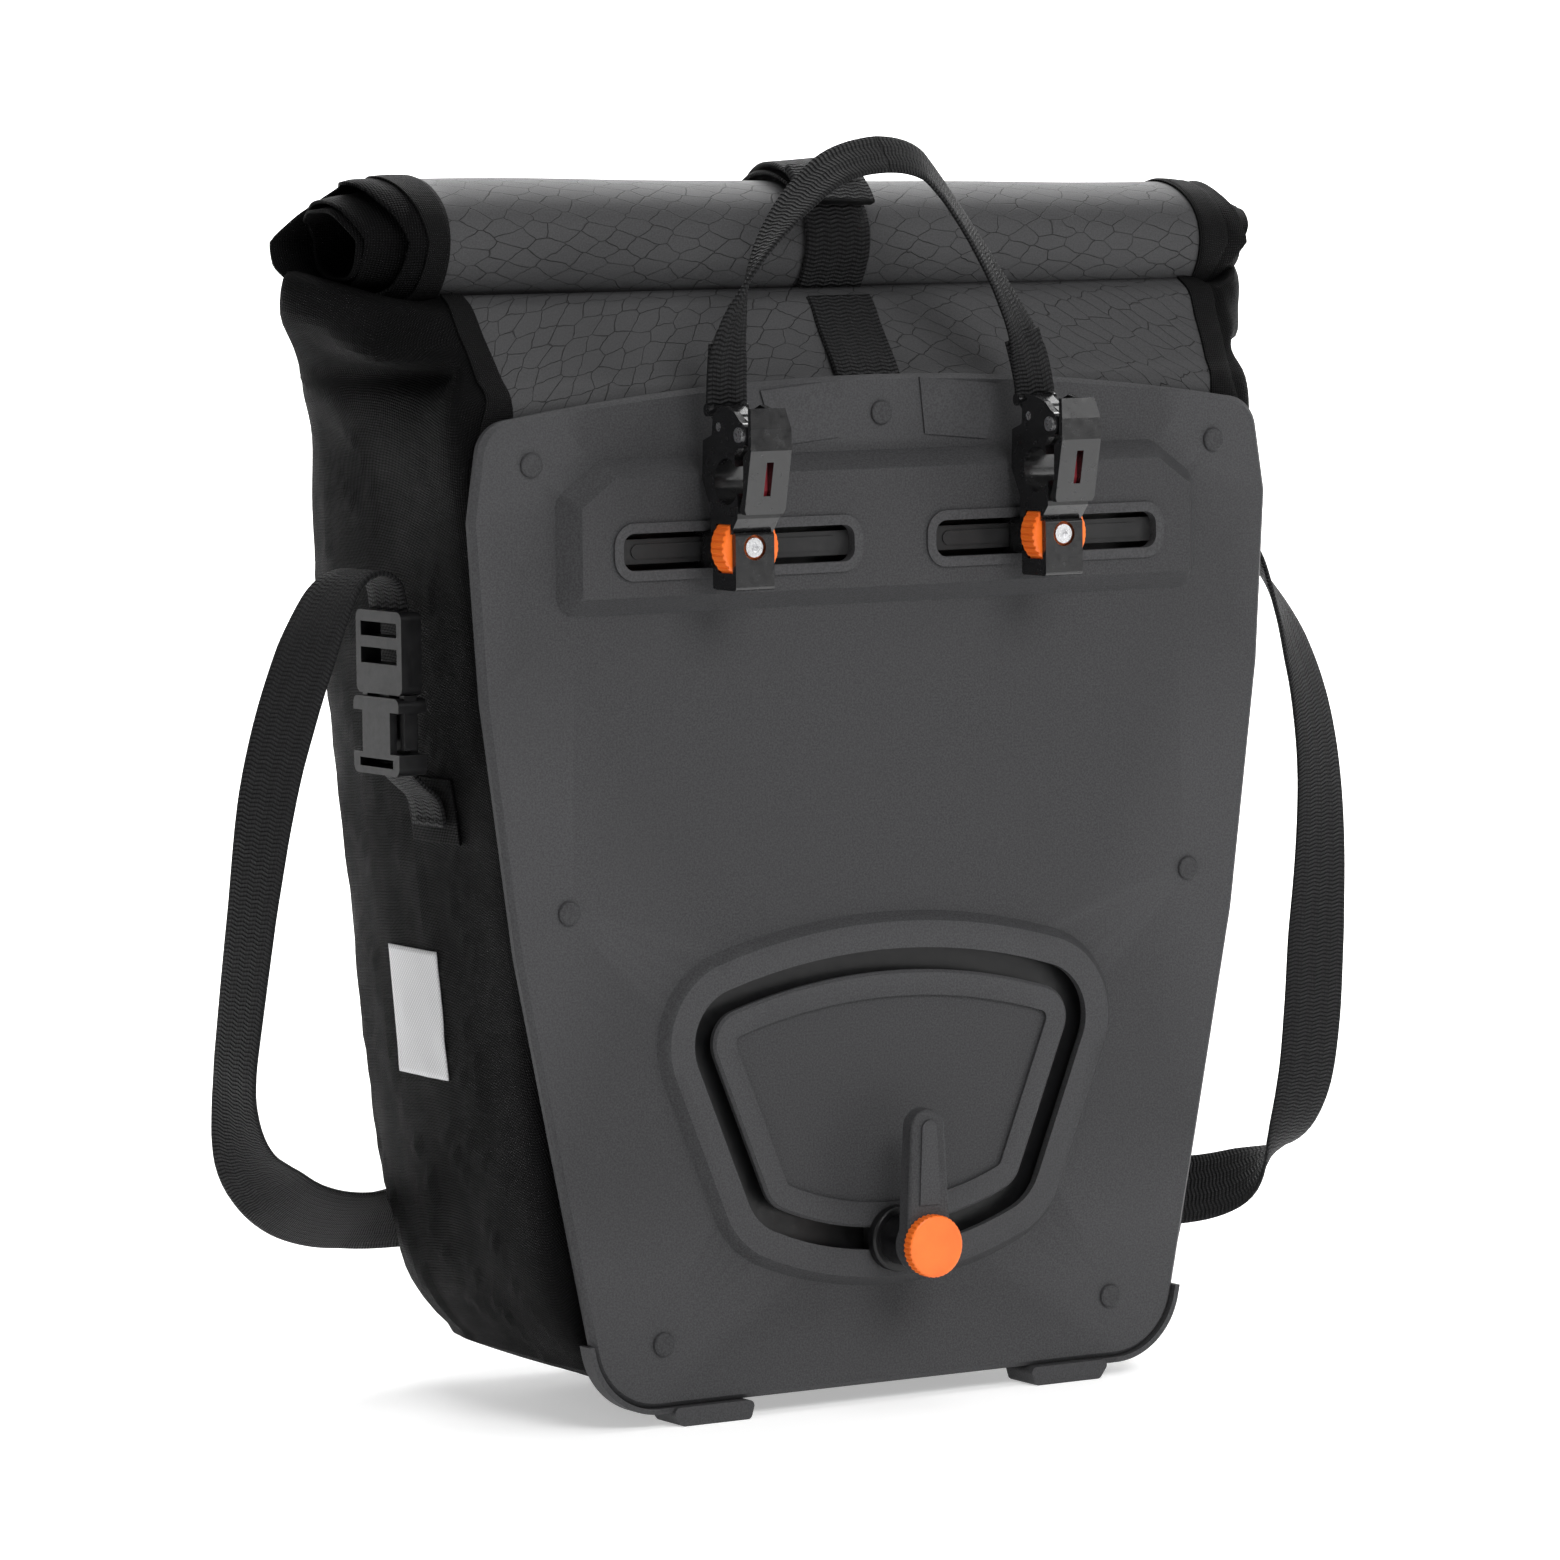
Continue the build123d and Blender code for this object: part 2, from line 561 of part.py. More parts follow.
def buckle_socket(side):
    """Hollow half that takes the prongs, open at the sides where they are pressed."""
    centre = BUCKLE_X
    half = BUCKLE_WIDTH / 2
    low, high = centre - BUCKLE_THICK / 2, centre + BUCKLE_THICK / 2
    shell = side_block(side, low, high, BUCKLE_DEPTH - half, BUCKLE_DEPTH + half, BUCKLE_SPLIT - 27,
                       BUCKLE_SPLIT)
    shell = fillet(shell.edges().filter_by(Axis.X), 3)
    shell -= side_block(side, centre - 2.8, centre + 2.8, BUCKLE_DEPTH - 12.2, BUCKLE_DEPTH + 12.2,
                        BUCKLE_SPLIT - 19, BUCKLE_SPLIT + 1)
    shell -= side_block(side, centre - 2.8, centre + 2.8, BUCKLE_DEPTH - 15.6, BUCKLE_DEPTH + 15.6,
                        BUCKLE_SPLIT - 5, BUCKLE_SPLIT + 1)
    for edge in (-1, 1):
        edge_low, edge_high = sorted((BUCKLE_DEPTH + edge * 10, BUCKLE_DEPTH + edge * 20))
        shell -= side_block(side, low - 1, high + 1, edge_low, edge_high, BUCKLE_SPLIT - 19.5, BUCKLE_SPLIT - 5)
    shell -= side_block(side, centre - 1.4, centre + 10, BUCKLE_DEPTH - 12, BUCKLE_DEPTH + 12,
                        BUCKLE_SPLIT - 24.5, BUCKLE_SPLIT - 21.5)
    return shell


def side_wall_x(z):
    """Outer X of the side fabric at a height between the body's level sections."""
    for low, high in zip(BODY_SECTIONS, BODY_SECTIONS[1:]):
        if low[3] <= z <= high[3]:
            return low[0] + (high[0] - low[0]) * (z - low[3]) / (high[3] - low[3])
    return BODY_SECTIONS[-1][0]


def patch(side, lift, thick, depth_low, depth_high, z_low, z_high):
    """Flat piece sewn on the side wall, following its slope."""
    points = [(side * (side_wall_x(z_low) + lift), z_low), (side * (side_wall_x(z_high) + lift), z_high),
              (side * (side_wall_x(z_high) + lift + thick), z_high),
              (side * (side_wall_x(z_low) + lift + thick), z_low)]
    return slab(outline(points), depth_low, depth_high)


def buckle_web(side):
    """Sewn patch with the short webbing that holds the socket."""
    sewn = patch(side, 0.2, 1.6, BUCKLE_DEPTH - 16, BUCKLE_DEPTH + 16, 206, 229)
    wall = side_wall_x(220) + 1.5
    loop = outline([(side * wall, 218), (side * (wall + 2.4), 218), (side * (BUCKLE_X - 1.5), 230.8),
                    (side * (BUCKLE_X - 4.5), 230.8)])
    return sewn + slab(loop, BUCKLE_DEPTH - 12, BUCKLE_DEPTH + 12)


def side_reflector(side):
    """Reflective patch on the side wall."""
    return patch(side, 0.15, 0.5, 62, 98, 120, 166)


def strap_tube(points):
    """Round tube along a route, with every corner as round as its two runs allow."""
    radii = []
    for before, corner, after in zip(points, points[1:], points[2:]):
        run_in = Vector(*corner) - Vector(*before)
        run_out = Vector(*after) - Vector(*corner)
        turn = math.radians(run_in.get_angle(run_out))
        radii.append(0.45 * min(run_in.length, run_out.length) / math.tan(turn / 2))
    path = FilletPolyline(*points, radius=radii)
    print("strap corner radii", [round(radius, 1) for radius in radii], "length", round(path.length, 1))
    start = Plane(origin=points[0], z_dir=path % 0)
    solid = sweep(start * Circle(STRAP_TUBE), path=path)
    expected = math.pi * STRAP_TUBE ** 2 * path.length
    print("strap volume over section times length", round(solid.volume / expected, 4))
    return solid


# ---- all nodes ----
def build_nodes():
    nodes = {
        "back_panel": back_panel(), "shield_plate": shield_plate(), "stabiliser_track": stabiliser_track(),
        "hook_rail": hook_rail(), "panel_rivets": panel_rivets(), "rivet_washers": rivet_washers(),
        "inner_stiffener": inner_stiffener(), "base_fabric": base_fabric(), "base_board": base_board(),
        "rolled_top": rolled_top(), "top_slat": top_slat(), "closure_strap_top": closure_strap_top(),
        "closure_strap_front": closure_strap_front(), "closure_strap_outer": closure_strap_outer(),
        "closure_buckle_plug": closure_buckle_plug(), "closure_buckle_socket": closure_buckle_socket(),
        "stabiliser_foot": stabiliser_foot(), "stabiliser_arm": stabiliser_arm(),
        "stabiliser_knob": stabiliser_knob(), "knob_bolt": knob_bolt(), "track_nut": track_nut(),
        "carry_handle": carry_handle(),
    }
    back, outer, left, right = cut_walls(body_shell(), 24, 98, BASE_Z, WAIST_SECTION[3])
    back -= Compound(bolt_holes(2.5, 4, 10))
    nodes.update(back_fabric=back, outer_fabric=outer, side_fabric_left=left, side_fabric_right=right)
    front, rear, left, right = cut_walls(collar_shell(), 30, 70, WAIST_SECTION[3], MOUTH_Z)
    front -= Compound(bolt_holes(2.5, 4, 10))
    nodes.update(collar_front=front, collar_rear=rear, gusset_left=left, gusset_right=right)
    for name, side in SIDES.items():
        nodes[f"corner_guard_{name}"] = corner_guard(side)
        nodes[f"buckle_plug_{name}"] = buckle_plug(side)
        nodes[f"buckle_socket_{name}"] = buckle_socket(side)
        nodes[f"buckle_web_{name}"] = buckle_web(side)
        nodes[f"side_reflector_{name}"] = side_reflector(side)
        nodes[f"shoulder_strap_{name}"] = strap_tube(STRAP_ROUTES[name])
    makers = {"hook_body": hook_body, "pivot_pins": pivot_pins, "front_jaw": front_jaw, "jaw_pad": jaw_pad,
              "release_lever": release_lever, "thumbwheel": thumbwheel, "clamp_bolt": clamp_bolt,
              "rail_clamp": rail_clamp}
    for name, x in HOOKS.items():
        for part, make in makers.items():
            nodes[f"{part}_{name}"] = make(x)
    return nodes


os.makedirs("parts", exist_ok=True)
for node_name, node_shape in build_nodes().items():
    write(node_name, node_shape)
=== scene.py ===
"""Looks of the roll-top pannier bag: soft body, rolled mouth, webbing, finishes, light and camera.

Lengths are metres. Helpers take millimetres: X, depth behind the panel's front plane, and Z.
"""
import json
import math

import bpy
import numpy as np
from mathutils import Matrix, Vector, noise


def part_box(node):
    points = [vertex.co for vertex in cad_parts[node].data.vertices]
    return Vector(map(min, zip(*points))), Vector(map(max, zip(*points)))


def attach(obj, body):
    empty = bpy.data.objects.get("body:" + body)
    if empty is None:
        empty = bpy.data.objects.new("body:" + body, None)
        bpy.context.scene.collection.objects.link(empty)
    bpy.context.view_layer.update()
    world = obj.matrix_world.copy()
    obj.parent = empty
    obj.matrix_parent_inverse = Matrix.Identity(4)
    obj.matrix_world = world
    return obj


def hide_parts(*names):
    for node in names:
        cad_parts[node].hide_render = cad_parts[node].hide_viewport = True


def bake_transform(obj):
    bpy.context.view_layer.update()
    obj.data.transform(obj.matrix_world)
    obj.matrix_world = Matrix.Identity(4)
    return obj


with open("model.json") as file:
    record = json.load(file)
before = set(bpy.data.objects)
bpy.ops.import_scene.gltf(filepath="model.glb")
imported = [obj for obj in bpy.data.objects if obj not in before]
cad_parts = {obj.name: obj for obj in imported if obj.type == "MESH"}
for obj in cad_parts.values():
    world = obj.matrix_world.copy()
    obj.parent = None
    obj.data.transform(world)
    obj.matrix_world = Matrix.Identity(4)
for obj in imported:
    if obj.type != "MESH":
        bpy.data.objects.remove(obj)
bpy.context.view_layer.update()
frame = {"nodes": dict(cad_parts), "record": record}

MM = 0.001
STIFFENER_DEPTH = 8.1
PANEL_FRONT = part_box("inner_stiffener")[0].y - STIFFENER_DEPTH * MM
SIDES = {"left": -1, "right": 1}


def middle_x(node):
    """X of the middle of a node's box, in millimetres."""
    low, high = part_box(node)
    return (low.x + high.x) / 2 / MM


HOOK_X = {side: middle_x(f"hook_body_{side}") for side in SIDES}


def place(x, depth, z):
    """Point in the row frame from millimetres."""
    return Vector((x * MM, PANEL_FRONT + depth * MM, z * MM))


# ---- camera ----
def set_camera():
    azimuth, elevation, roll = (math.radians(angle) for angle in (-31.42, 4.93, -0.69))
    back = Vector((math.sin(azimuth) * math.cos(elevation), -math.cos(azimuth) * math.cos(elevation),
                   math.sin(elevation)))
    level = Vector((math.cos(azimuth), math.sin(azimuth), 0))
    above = back.cross(level)
    right = level * math.cos(roll) + above * math.sin(roll)
    up = above * math.cos(roll) - level * math.sin(roll)
    turn = Matrix((right, up, back)).transposed().to_4x4()
    data = bpy.data.cameras.new("camera")
    data.lens = 173.08
    data.sensor_width = 36
    data.clip_end = 20
    camera = bpy.data.objects.new("camera", data)
    bpy.context.scene.collection.objects.link(camera)
    camera.matrix_world = Matrix.Translation((-1.4128, -2.2989, 0.4517)) @ turn
    bpy.context.scene.camera = camera


set_camera()


# ---- meshes ----
def link(name, data):
    piece = bpy.data.objects.new(name, data)
    bpy.context.scene.collection.objects.link(piece)
    return piece


def grid_mesh(name, points, uvs, close_rows=False, keep=None, slots=None):
    """Mesh through a rows by columns by 3 array, with a UV in metres for each point."""
    rows, columns = points.shape[:2]
    faces, face_uvs, face_slots = [], [], []
    last = columns if close_rows else columns - 1
    for row in range(rows - 1):
        for column in range(last):
            if keep is not None and not keep(row, column):
                continue
            after = (column + 1) % columns
            faces.append((row * columns + column, row * columns + after,
                          (row + 1) * columns + after, (row + 1) * columns + column))
            wrap = uvs[row, column + 1] if column + 1 < uvs.shape[1] else uvs[row, 0]
            wrap_up = uvs[row + 1, column + 1] if column + 1 < uvs.shape[1] else uvs[row + 1, 0]
            face_uvs += [uvs[row, column], wrap, wrap_up, uvs[row + 1, column]]
            face_slots.append(slots(row, column) if slots else 0)
    data = bpy.data.meshes.new(name)
    data.from_pydata([Vector(p) for p in points.reshape(-1, 3)], [], faces)
    layer = data.uv_layers.new(name="UVMap")
    layer.data.foreach_set("uv", np.array(face_uvs, float).reshape(-1))
    data.polygons.foreach_set("material_index", face_slots)
    data.polygons.foreach_set("use_smooth", [True] * len(faces))
    data.update()
    return link(name, data)


def thicken(piece, thickness, offset=-1.0):
    modifier = piece.modifiers.new("thickness", "SOLIDIFY")
    modifier.thickness = thickness
    modifier.offset = offset
    modifier.use_even_offset = True
    modifier.thickness_clamp = 1.0


def curve_points(points, order=3, resolution=12):
    """Points along a NURBS spline with these control points."""
    data = bpy.data.curves.new("route", "CURVE")
    data.dimensions = "3D"
    data.resolution_u = resolution
    spline = data.splines.new("NURBS")
    spline.points.add(len(points) - 1)
    for point, place_ in zip(spline.points, points):
        point.co = (*place_, 1)
    spline.order_u = order
    spline.use_endpoint_u = True
    curve = bpy.data.objects.new("route", data)
    line = bpy.data.meshes.new_from_object(curve)
    found = [vertex.co.copy() for vertex in line.vertices]
    bpy.data.objects.remove(curve)
    bpy.data.meshes.remove(line)
    return found


def catmull(values, steps):
    """Smooth run through the values along axis 0, with that many steps for each span."""
    values = np.asarray(values, float)
    padded = np.concatenate([2 * values[:1] - values[1:2], values, 2 * values[-1:] - values[-2:-1]])
    found = []
    for span in range(len(values) - 1):
        a, b, c, d = padded[span:span + 4]
        count = steps[span] if hasattr(steps, "__len__") else steps
        for step in range(count):
            t = step / count
            found.append(0.5 * (2 * b + (c - a) * t + (2 * a - 5 * b + 4 * c - d) * t ** 2
                                + (3 * b - a - 3 * c + d) * t ** 3))
    found.append(values[-1])
    return np.array(found)


def ribbon(name, line, sides, width, thickness, material):
    """Closed band of webbing along a line; sides gives the direction across it at each point."""
    line = [Vector(p) for p in line]
    count = len(line)
    across = (-0.5, -0.47, -0.25, 0.0, 0.25, 0.47, 0.5)
    profile = [(a, 0.5 if abs(a) < 0.49 else 0.0) for a in across]
    profile += [(a, -0.5) for a in reversed(across[1:-1])]
    rows, uvs, run = [], [], 0.0
    for number, point in enumerate(line):
        before, after = line[max(number - 1, 0)], line[min(number + 1, count - 1)]
        tangent = (after - before).normalized()
        side = Vector(sides[number])
        side = (side - tangent * side.dot(tangent)).normalized()
        normal = tangent.cross(side)
        if number:
            run += (point - line[number - 1]).length
        rows.append([point + side * (a * width) + normal * (b * thickness) for a, b in profile])
        uvs.append([(a * width, run) for a, b in profile] + [(across[0] * width, run)])
    piece = grid_mesh(name, np.array(rows), np.array(uvs), close_rows=True)
    cap_ends(piece, len(profile))
    piece.data.materials.append(material)
    return piece


def cap_ends(piece, ring):
    """Closes the first and last ring of a tube."""
    data = piece.data
    total = len(data.vertices)
    points = [vertex.co.copy() for vertex in data.vertices]
    faces = [tuple(polygon.vertices) for polygon in data.polygons]
    uv = [tuple(item.uv) for item in data.uv_layers[0].data]
    faces += [tuple(reversed(range(ring))), tuple(range(total - ring, total))]
    uv += [(0.0, 0.0)] * (2 * ring)
    data.clear_geometry()
    data.from_pydata(points, [], faces)
    layer = data.uv_layers[0] if data.uv_layers else data.uv_layers.new(name="UVMap")
    layer.data.foreach_set("uv", np.array(uv, float).reshape(-1))
    data.polygons.foreach_set("use_smooth", [True] * len(faces))
    data.update()


def spread(keys, count):
    """Directions between key directions, one for each of count points."""
    positions = np.linspace(0, len(keys) - 1, count)
    keys = np.array(keys, float)
    return [Vector(np.array([np.interp(p, range(len(keys)), keys[:, axis]) for axis in range(3)]))
            for p in positions]


# ---- shoulder strap ----
STRAP_WIDTH = 0.0262
STRAP_THICK = 0.0018
STRAP_ROUTES = {
    "left": [(-0.171, -0.006, 0.288), (-0.171, -0.006, 0.2975), (-0.180, -0.0063, 0.303),
             (-0.191, -0.006, 0.298), (-0.200, -0.004, 0.280), (-0.208, -0.001, 0.256),
             (-0.215, 0.003, 0.226), (-0.219, 0.007, 0.188), (-0.2225, 0.011, 0.150),
             (-0.224, 0.016, 0.120), (-0.214, 0.027, 0.094), (-0.190, 0.045, 0.075),
             (-0.160, 0.070, 0.064), (-0.128, 0.094, 0.0585), (-0.084, 0.112, 0.058),
             (-0.040, 0.117, 0.061), (0.0, 0.117, 0.061)],
    "right": [(0.171, -0.006, 0.288), (0.171, -0.006, 0.2985), (0.180, -0.0063, 0.3035),
              (0.191, -0.0062, 0.298), (0.202, -0.0058, 0.283), (0.213, -0.0052, 0.264),
              (0.2225, -0.004, 0.240), (0.2285, -0.002, 0.212), (0.231, 0.001, 0.180),
              (0.2315, 0.005, 0.148), (0.2325, 0.009, 0.115), (0.232, 0.014, 0.086),
              (0.227, 0.023, 0.063), (0.215, 0.039, 0.0495), (0.196, 0.060, 0.045),
              (0.168, 0.084, 0.0465), (0.130, 0.105, 0.052), (0.084, 0.114, 0.0575),
              (0.040, 0.117, 0.061), (0.0, 0.117, 0.061)],
}
STRAP_SIDES = {
    "left": [(0, -1, 0), (0, -1, 0), (0.1, -1, 0), (0.3, -0.95, 0), (0.45, -0.9, 0), (0.45, -0.9, 0),
             (0.38, -0.93, 0), (0.22, -0.97, 0), (0.15, -0.99, 0), (0.08, -1, 0.05), (0.1, -0.9, 0.4),
             (0.3, -0.6, 0.7), (0.4, -0.5, 0.75), (0.35, -0.45, 0.8), (0.1, -0.2, 1), (0, 0, 1), (0, 0, 1)],
    "right": [(0, 1, 0), (0, 1, 0), (0.1, 1, 0), (0.35, 1, 0), (0.65, 0.8, 0), (0.82, 0.57, 0),
              (0.9, 0.42, 0), (0.95, 0.3, 0), (0.99, 0.15, 0), (1, 0, 0), (1, -0.03, 0), (1, 0, 0.1),
              (0.85, 0.1, 0.45), (0.5, 0.1, 0.8), (0.25, 0.1, 0.9), (0.1, 0.1, 1), (0, 0, 1), (0, 0, 1),
              (0, 0, 1), (0, 0, 1)],
}


def shoulder_strap(side, material):
    route = STRAP_ROUTES[side]
    line = curve_points(route, resolution=8)
    keys = [Vector(key).normalized() for key in STRAP_SIDES[side]]
    for number in range(1, len(keys)):
        if keys[number].dot(keys[number - 1]) < 0:
            keys[number] = -keys[number]
    strap = ribbon(f"strap_webbing_{side}", line, spread(keys, len(line)), STRAP_WIDTH, STRAP_THICK, material)
    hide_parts(f"shoulder_strap_{side}")
    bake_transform(strap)


# ---- finishes ----
class Finish:
    """A material and short calls to build its nodes."""

    def __init__(self, name, colour, roughness, **shader):
        self.material = bpy.data.materials.new(name)
        self.material.use_nodes = True
        self.tree = self.material.node_tree
        self.shader = self.tree.nodes["Principled BSDF"]
        self.shader.inputs["Base Color"].default_value = (*colour, 1)
        self.shader.inputs["Roughness"].default_value = roughness
        for socket, value in shader.items():
            self.shader.inputs[socket.replace("_", " ")].default_value = value

    def add(self, kind, inputs=(), **settings):
        node = self.tree.nodes.new(kind)
        for name, value in settings.items():
            setattr(node, name, value)
        for name, value in dict(inputs).items():
            if hasattr(value, "is_output"):
                self.tree.links.new(value, node.inputs[name])
            else:
                node.inputs[name].default_value = value
        return node

    def maths(self, operation, first, second=0.0):
        return self.add("ShaderNodeMath", {0: first, 1: second}, operation=operation).outputs[0]

    def coordinates(self, kind="Object"):
        return self.add("ShaderNodeTexCoord").outputs[kind]

    def scaled(self, kind, x, y, z=1.0, turn=0.0):
        mapping = self.add("ShaderNodeMapping", {"Vector": self.coordinates(kind), "Scale": (x, y, z),
                                                 "Rotation": (0, 0, turn)})
        return mapping.outputs[0]

    def noise(self, vector, scale, detail=3.0, roughness=0.55):
        return self.add("ShaderNodeTexNoise", {"Vector": vector, "Scale": scale, "Detail": detail,
                                               "Roughness": roughness}).outputs["Fac"]

    def between(self, value, low, high, out_low=0.0, out_high=1.0):
        return self.add("ShaderNodeMapRange", {"Value": value, "From Min": low, "From Max": high,
                                               "To Min": out_low, "To Max": out_high}).outputs["Result"]

    def colours(self, factor, dark, light):
        mix = self.add("ShaderNodeMix", {0: factor}, data_type="RGBA")
        mix.inputs[6].default_value = (*dark, 1)
        mix.inputs[7].default_value = (*light, 1)
        self.tree.links.new(mix.outputs[2], self.shader.inputs["Base Color"])

    def rough(self, value):
        self.tree.links.new(value, self.shader.inputs["Roughness"])

    def bump(self, height, distance, strength=1.0):
        node = self.add("ShaderNodeBump", {"Height": height, "Distance": distance, "Strength": strength})
        previous = self.shader.inputs["Normal"].links
        if previous:
            self.tree.links.new(previous[0].from_socket, node.inputs["Normal"])
        self.tree.links.new(node.outputs[0], self.shader.inputs["Normal"])


def split(finish, vector):
    parts = finish.add("ShaderNodeSeparateXYZ", {0: vector}).outputs
    return parts[0], parts[1]


def ridge(finish, value):
    """Rounded thread section, one for each whole number."""
    return finish.maths("ABSOLUTE", finish.maths("SINE", finish.maths("MULTIPLY", value, math.pi)))


def woven(name, dark, light, thread=0.00105, roughness=0.6, specular=0.1, depth=0.0006):
    """Coated plain weave: each thread passes over and under its neighbours."""
    finish = Finish(name, light, roughness, Specular_IOR_Level=specular)
    u, v = split(finish, finish.scaled("UV", 1 / thread, 1 / thread))
    checks = finish.maths("ADD", finish.maths("FLOOR", u), finish.maths("FLOOR", v))
    parity = finish.maths("PINGPONG", checks, 1.0)
    warp, weft = ridge(finish, u), ridge(finish, v)
    warp_up = finish.maths("MULTIPLY", finish.maths("POWER", warp, 0.6), finish.between(weft, 0, 1, 0.35, 1))
    weft_up = finish.maths("MULTIPLY", finish.maths("POWER", weft, 0.6), finish.between(warp, 0, 1, 0.35, 1))
    height = finish.add("ShaderNodeMix", {0: parity, 2: warp_up, 3: weft_up}, data_type="FLOAT").outputs[0]
    cloudy = finish.noise(finish.coordinates("Object"), 45, 3)
    # painted highlight and shade: the colour is lighter on the raised thread crowns and darker in the gaps
    # between them, times a random cloudy tone
    tone = finish.maths("MULTIPLY", height, finish.between(cloudy, 0.3, 0.7, 0.7, 1.0))
    finish.colours(tone, dark, light)
    finish.rough(finish.between(cloudy, 0.3, 0.7, roughness - 0.06, roughness + 0.1))
    finish.bump(height, depth)
    return finish.material


HERRINGBONE = 0.0032       # half the width of one zigzag of the ribs
WARP_PITCH = 0.0016


def webbed(name, dark, light, rib=0.0015, roughness=0.6, specular=0.14):
    """Ribbed webbing: ribs across its width, split by fine warp lines."""
    finish = Finish(name, light, roughness, Specular_IOR_Level=specular)
    u, v = split(finish, finish.coordinates("UV"))
    zigzag = finish.maths("PINGPONG", finish.maths("MULTIPLY", u, 1 / HERRINGBONE), 1.0)
    lean = finish.maths("MULTIPLY", zigzag, 0.5)
    ribs = ridge(finish, finish.maths("ADD", finish.maths("MULTIPLY", v, 1 / rib), lean))
    warp = ridge(finish, finish.maths("MULTIPLY", u, 1 / WARP_PITCH))
    height = finish.maths("MULTIPLY", finish.maths("POWER", ribs, 0.7), finish.between(warp, 0, 0.5, 0.6, 1))
    fuzz = finish.noise(finish.coordinates("Object"), 2600, 2)
    # painted highlight and shade: the colour is lighter on the rib crowns and darker in the furrows, times a
    # random fuzz
    tone = finish.maths("MULTIPLY", height, finish.between(fuzz, 0.3, 0.7, 0.6, 1.0))
    finish.colours(tone, dark, light)
    finish.bump(height, 0.0009)
    return finish.material


def laminated(name):
    """Grey laminate with a net of fine creases that catch the light where they cross."""
    finish = Finish(name, (0.045, 0.045, 0.046), 0.42, Specular_IOR_Level=0.16)
    wander = finish.maths("MULTIPLY", finish.noise(finish.coordinates("UV"), 130, 2), 0.4)
    base = finish.scaled("UV", 1 / 0.0108, 1 / 0.0056, turn=0.6)
    shifted = finish.add("ShaderNodeVectorMath", {0: base, 1: wander}, operation="ADD").outputs[0]
    net = finish.add("ShaderNodeTexVoronoi", {"Vector": shifted, "Scale": 1.0, "Randomness": 0.48},
                     feature="DISTANCE_TO_EDGE").outputs["Distance"]
    patchy = finish.noise(finish.coordinates("UV"), 60, 2)
    width = finish.between(patchy, 0.35, 0.7, 0.012, 0.038)
    crease = finish.between(finish.maths("DIVIDE", net, width), 0.2, 1.0)
    speckle = finish.noise(finish.coordinates("UV"), 1500, 3, 0.7)
    mottled = finish.between(speckle, 0.35, 0.65, 0.55, 1.0)
    finish.colours(finish.maths("MULTIPLY", crease, mottled), (0.016, 0.016, 0.016), (0.058, 0.058, 0.06))
    finish.rough(finish.between(speckle, 0.3, 0.7, 0.36, 0.56))
    finish.bump(speckle, 0.00008)
    finish.bump(crease, 0.00022)
    return finish.material


def moulded(name, dark, light, grain=1500, depth=0.00009, roughness=0.62, specular=0.22):
    """Moulded panel: fine leathery grain, made lighter along its edges by a painted highlight."""
    finish = Finish(name, light, roughness, Specular_IOR_Level=specular)
    at = finish.coordinates("Object")
    fine = finish.noise(at, grain, 2, 0.6)
    coarse = finish.noise(at, 22, 4)
    # painted highlight: where pointiness finds an edge, the colour is made lighter
    painted_edge_highlight = finish.between(finish.add("ShaderNodeNewGeometry").outputs["Pointiness"], 0.51, 0.56)
    speckle = finish.between(fine, 0.36, 0.64)
    tone = finish.maths("ADD", finish.maths("MULTIPLY", speckle, finish.between(coarse, 0.3, 0.7, 0.55, 0.8)),
                        finish.maths("MULTIPLY", painted_edge_highlight, 0.35))
    finish.colours(tone, dark, light)
    finish.rough(finish.between(coarse, 0.3, 0.7, roughness - 0.06, roughness + 0.08))
    finish.bump(fine, depth)
    return finish.material


def plastic(name, dark, light, roughness, grain=300, depth=0.00002, **shader):
    """Smooth moulding with faint flow marks and handling scuffs."""
    finish = Finish(name, light, roughness, **shader)
    at = finish.coordinates("Object")
    flow = finish.noise(at, 70, 4)
    scuffs = finish.noise(at, grain, 3, 0.7)
    finish.colours(finish.between(flow, 0.3, 0.7), dark, light)
    finish.rough(finish.between(scuffs, 0.35, 0.7, roughness - 0.04, roughness + 0.1))
    finish.bump(scuffs, depth)
    return finish.material


def steel_finish(name):
    finish = Finish(name, (0.72, 0.72, 0.73), 0.28, Metallic=1.0)
    brushed = finish.noise(finish.coordinates("Object"), 1400, 3, 0.7)
    finish.colours(brushed, (0.5, 0.5, 0.51), (0.85, 0.85, 0.86))
    finish.rough(finish.between(brushed, 0.3, 0.7, 0.2, 0.4))
    finish.bump(brushed, 0.00002)
    return finish.material


def film_finish(name):
    """Reflective film over the weave: tiny cells in rows."""
    finish = Finish(name, (0.6, 0.6, 0.61), 0.38, Specular_IOR_Level=0.6)
    u, v = split(finish, finish.scaled("UV", 1 / 0.0012, 1 / 0.0012, turn=0.785))
    cells = finish.maths("MULTIPLY", ridge(finish, u), ridge(finish, v))
    finish.colours(finish.between(cells, 0, 0.6), (0.42, 0.42, 0.43), (0.66, 0.66, 0.67))
    finish.bump(cells, 0.00006)
    return finish.material
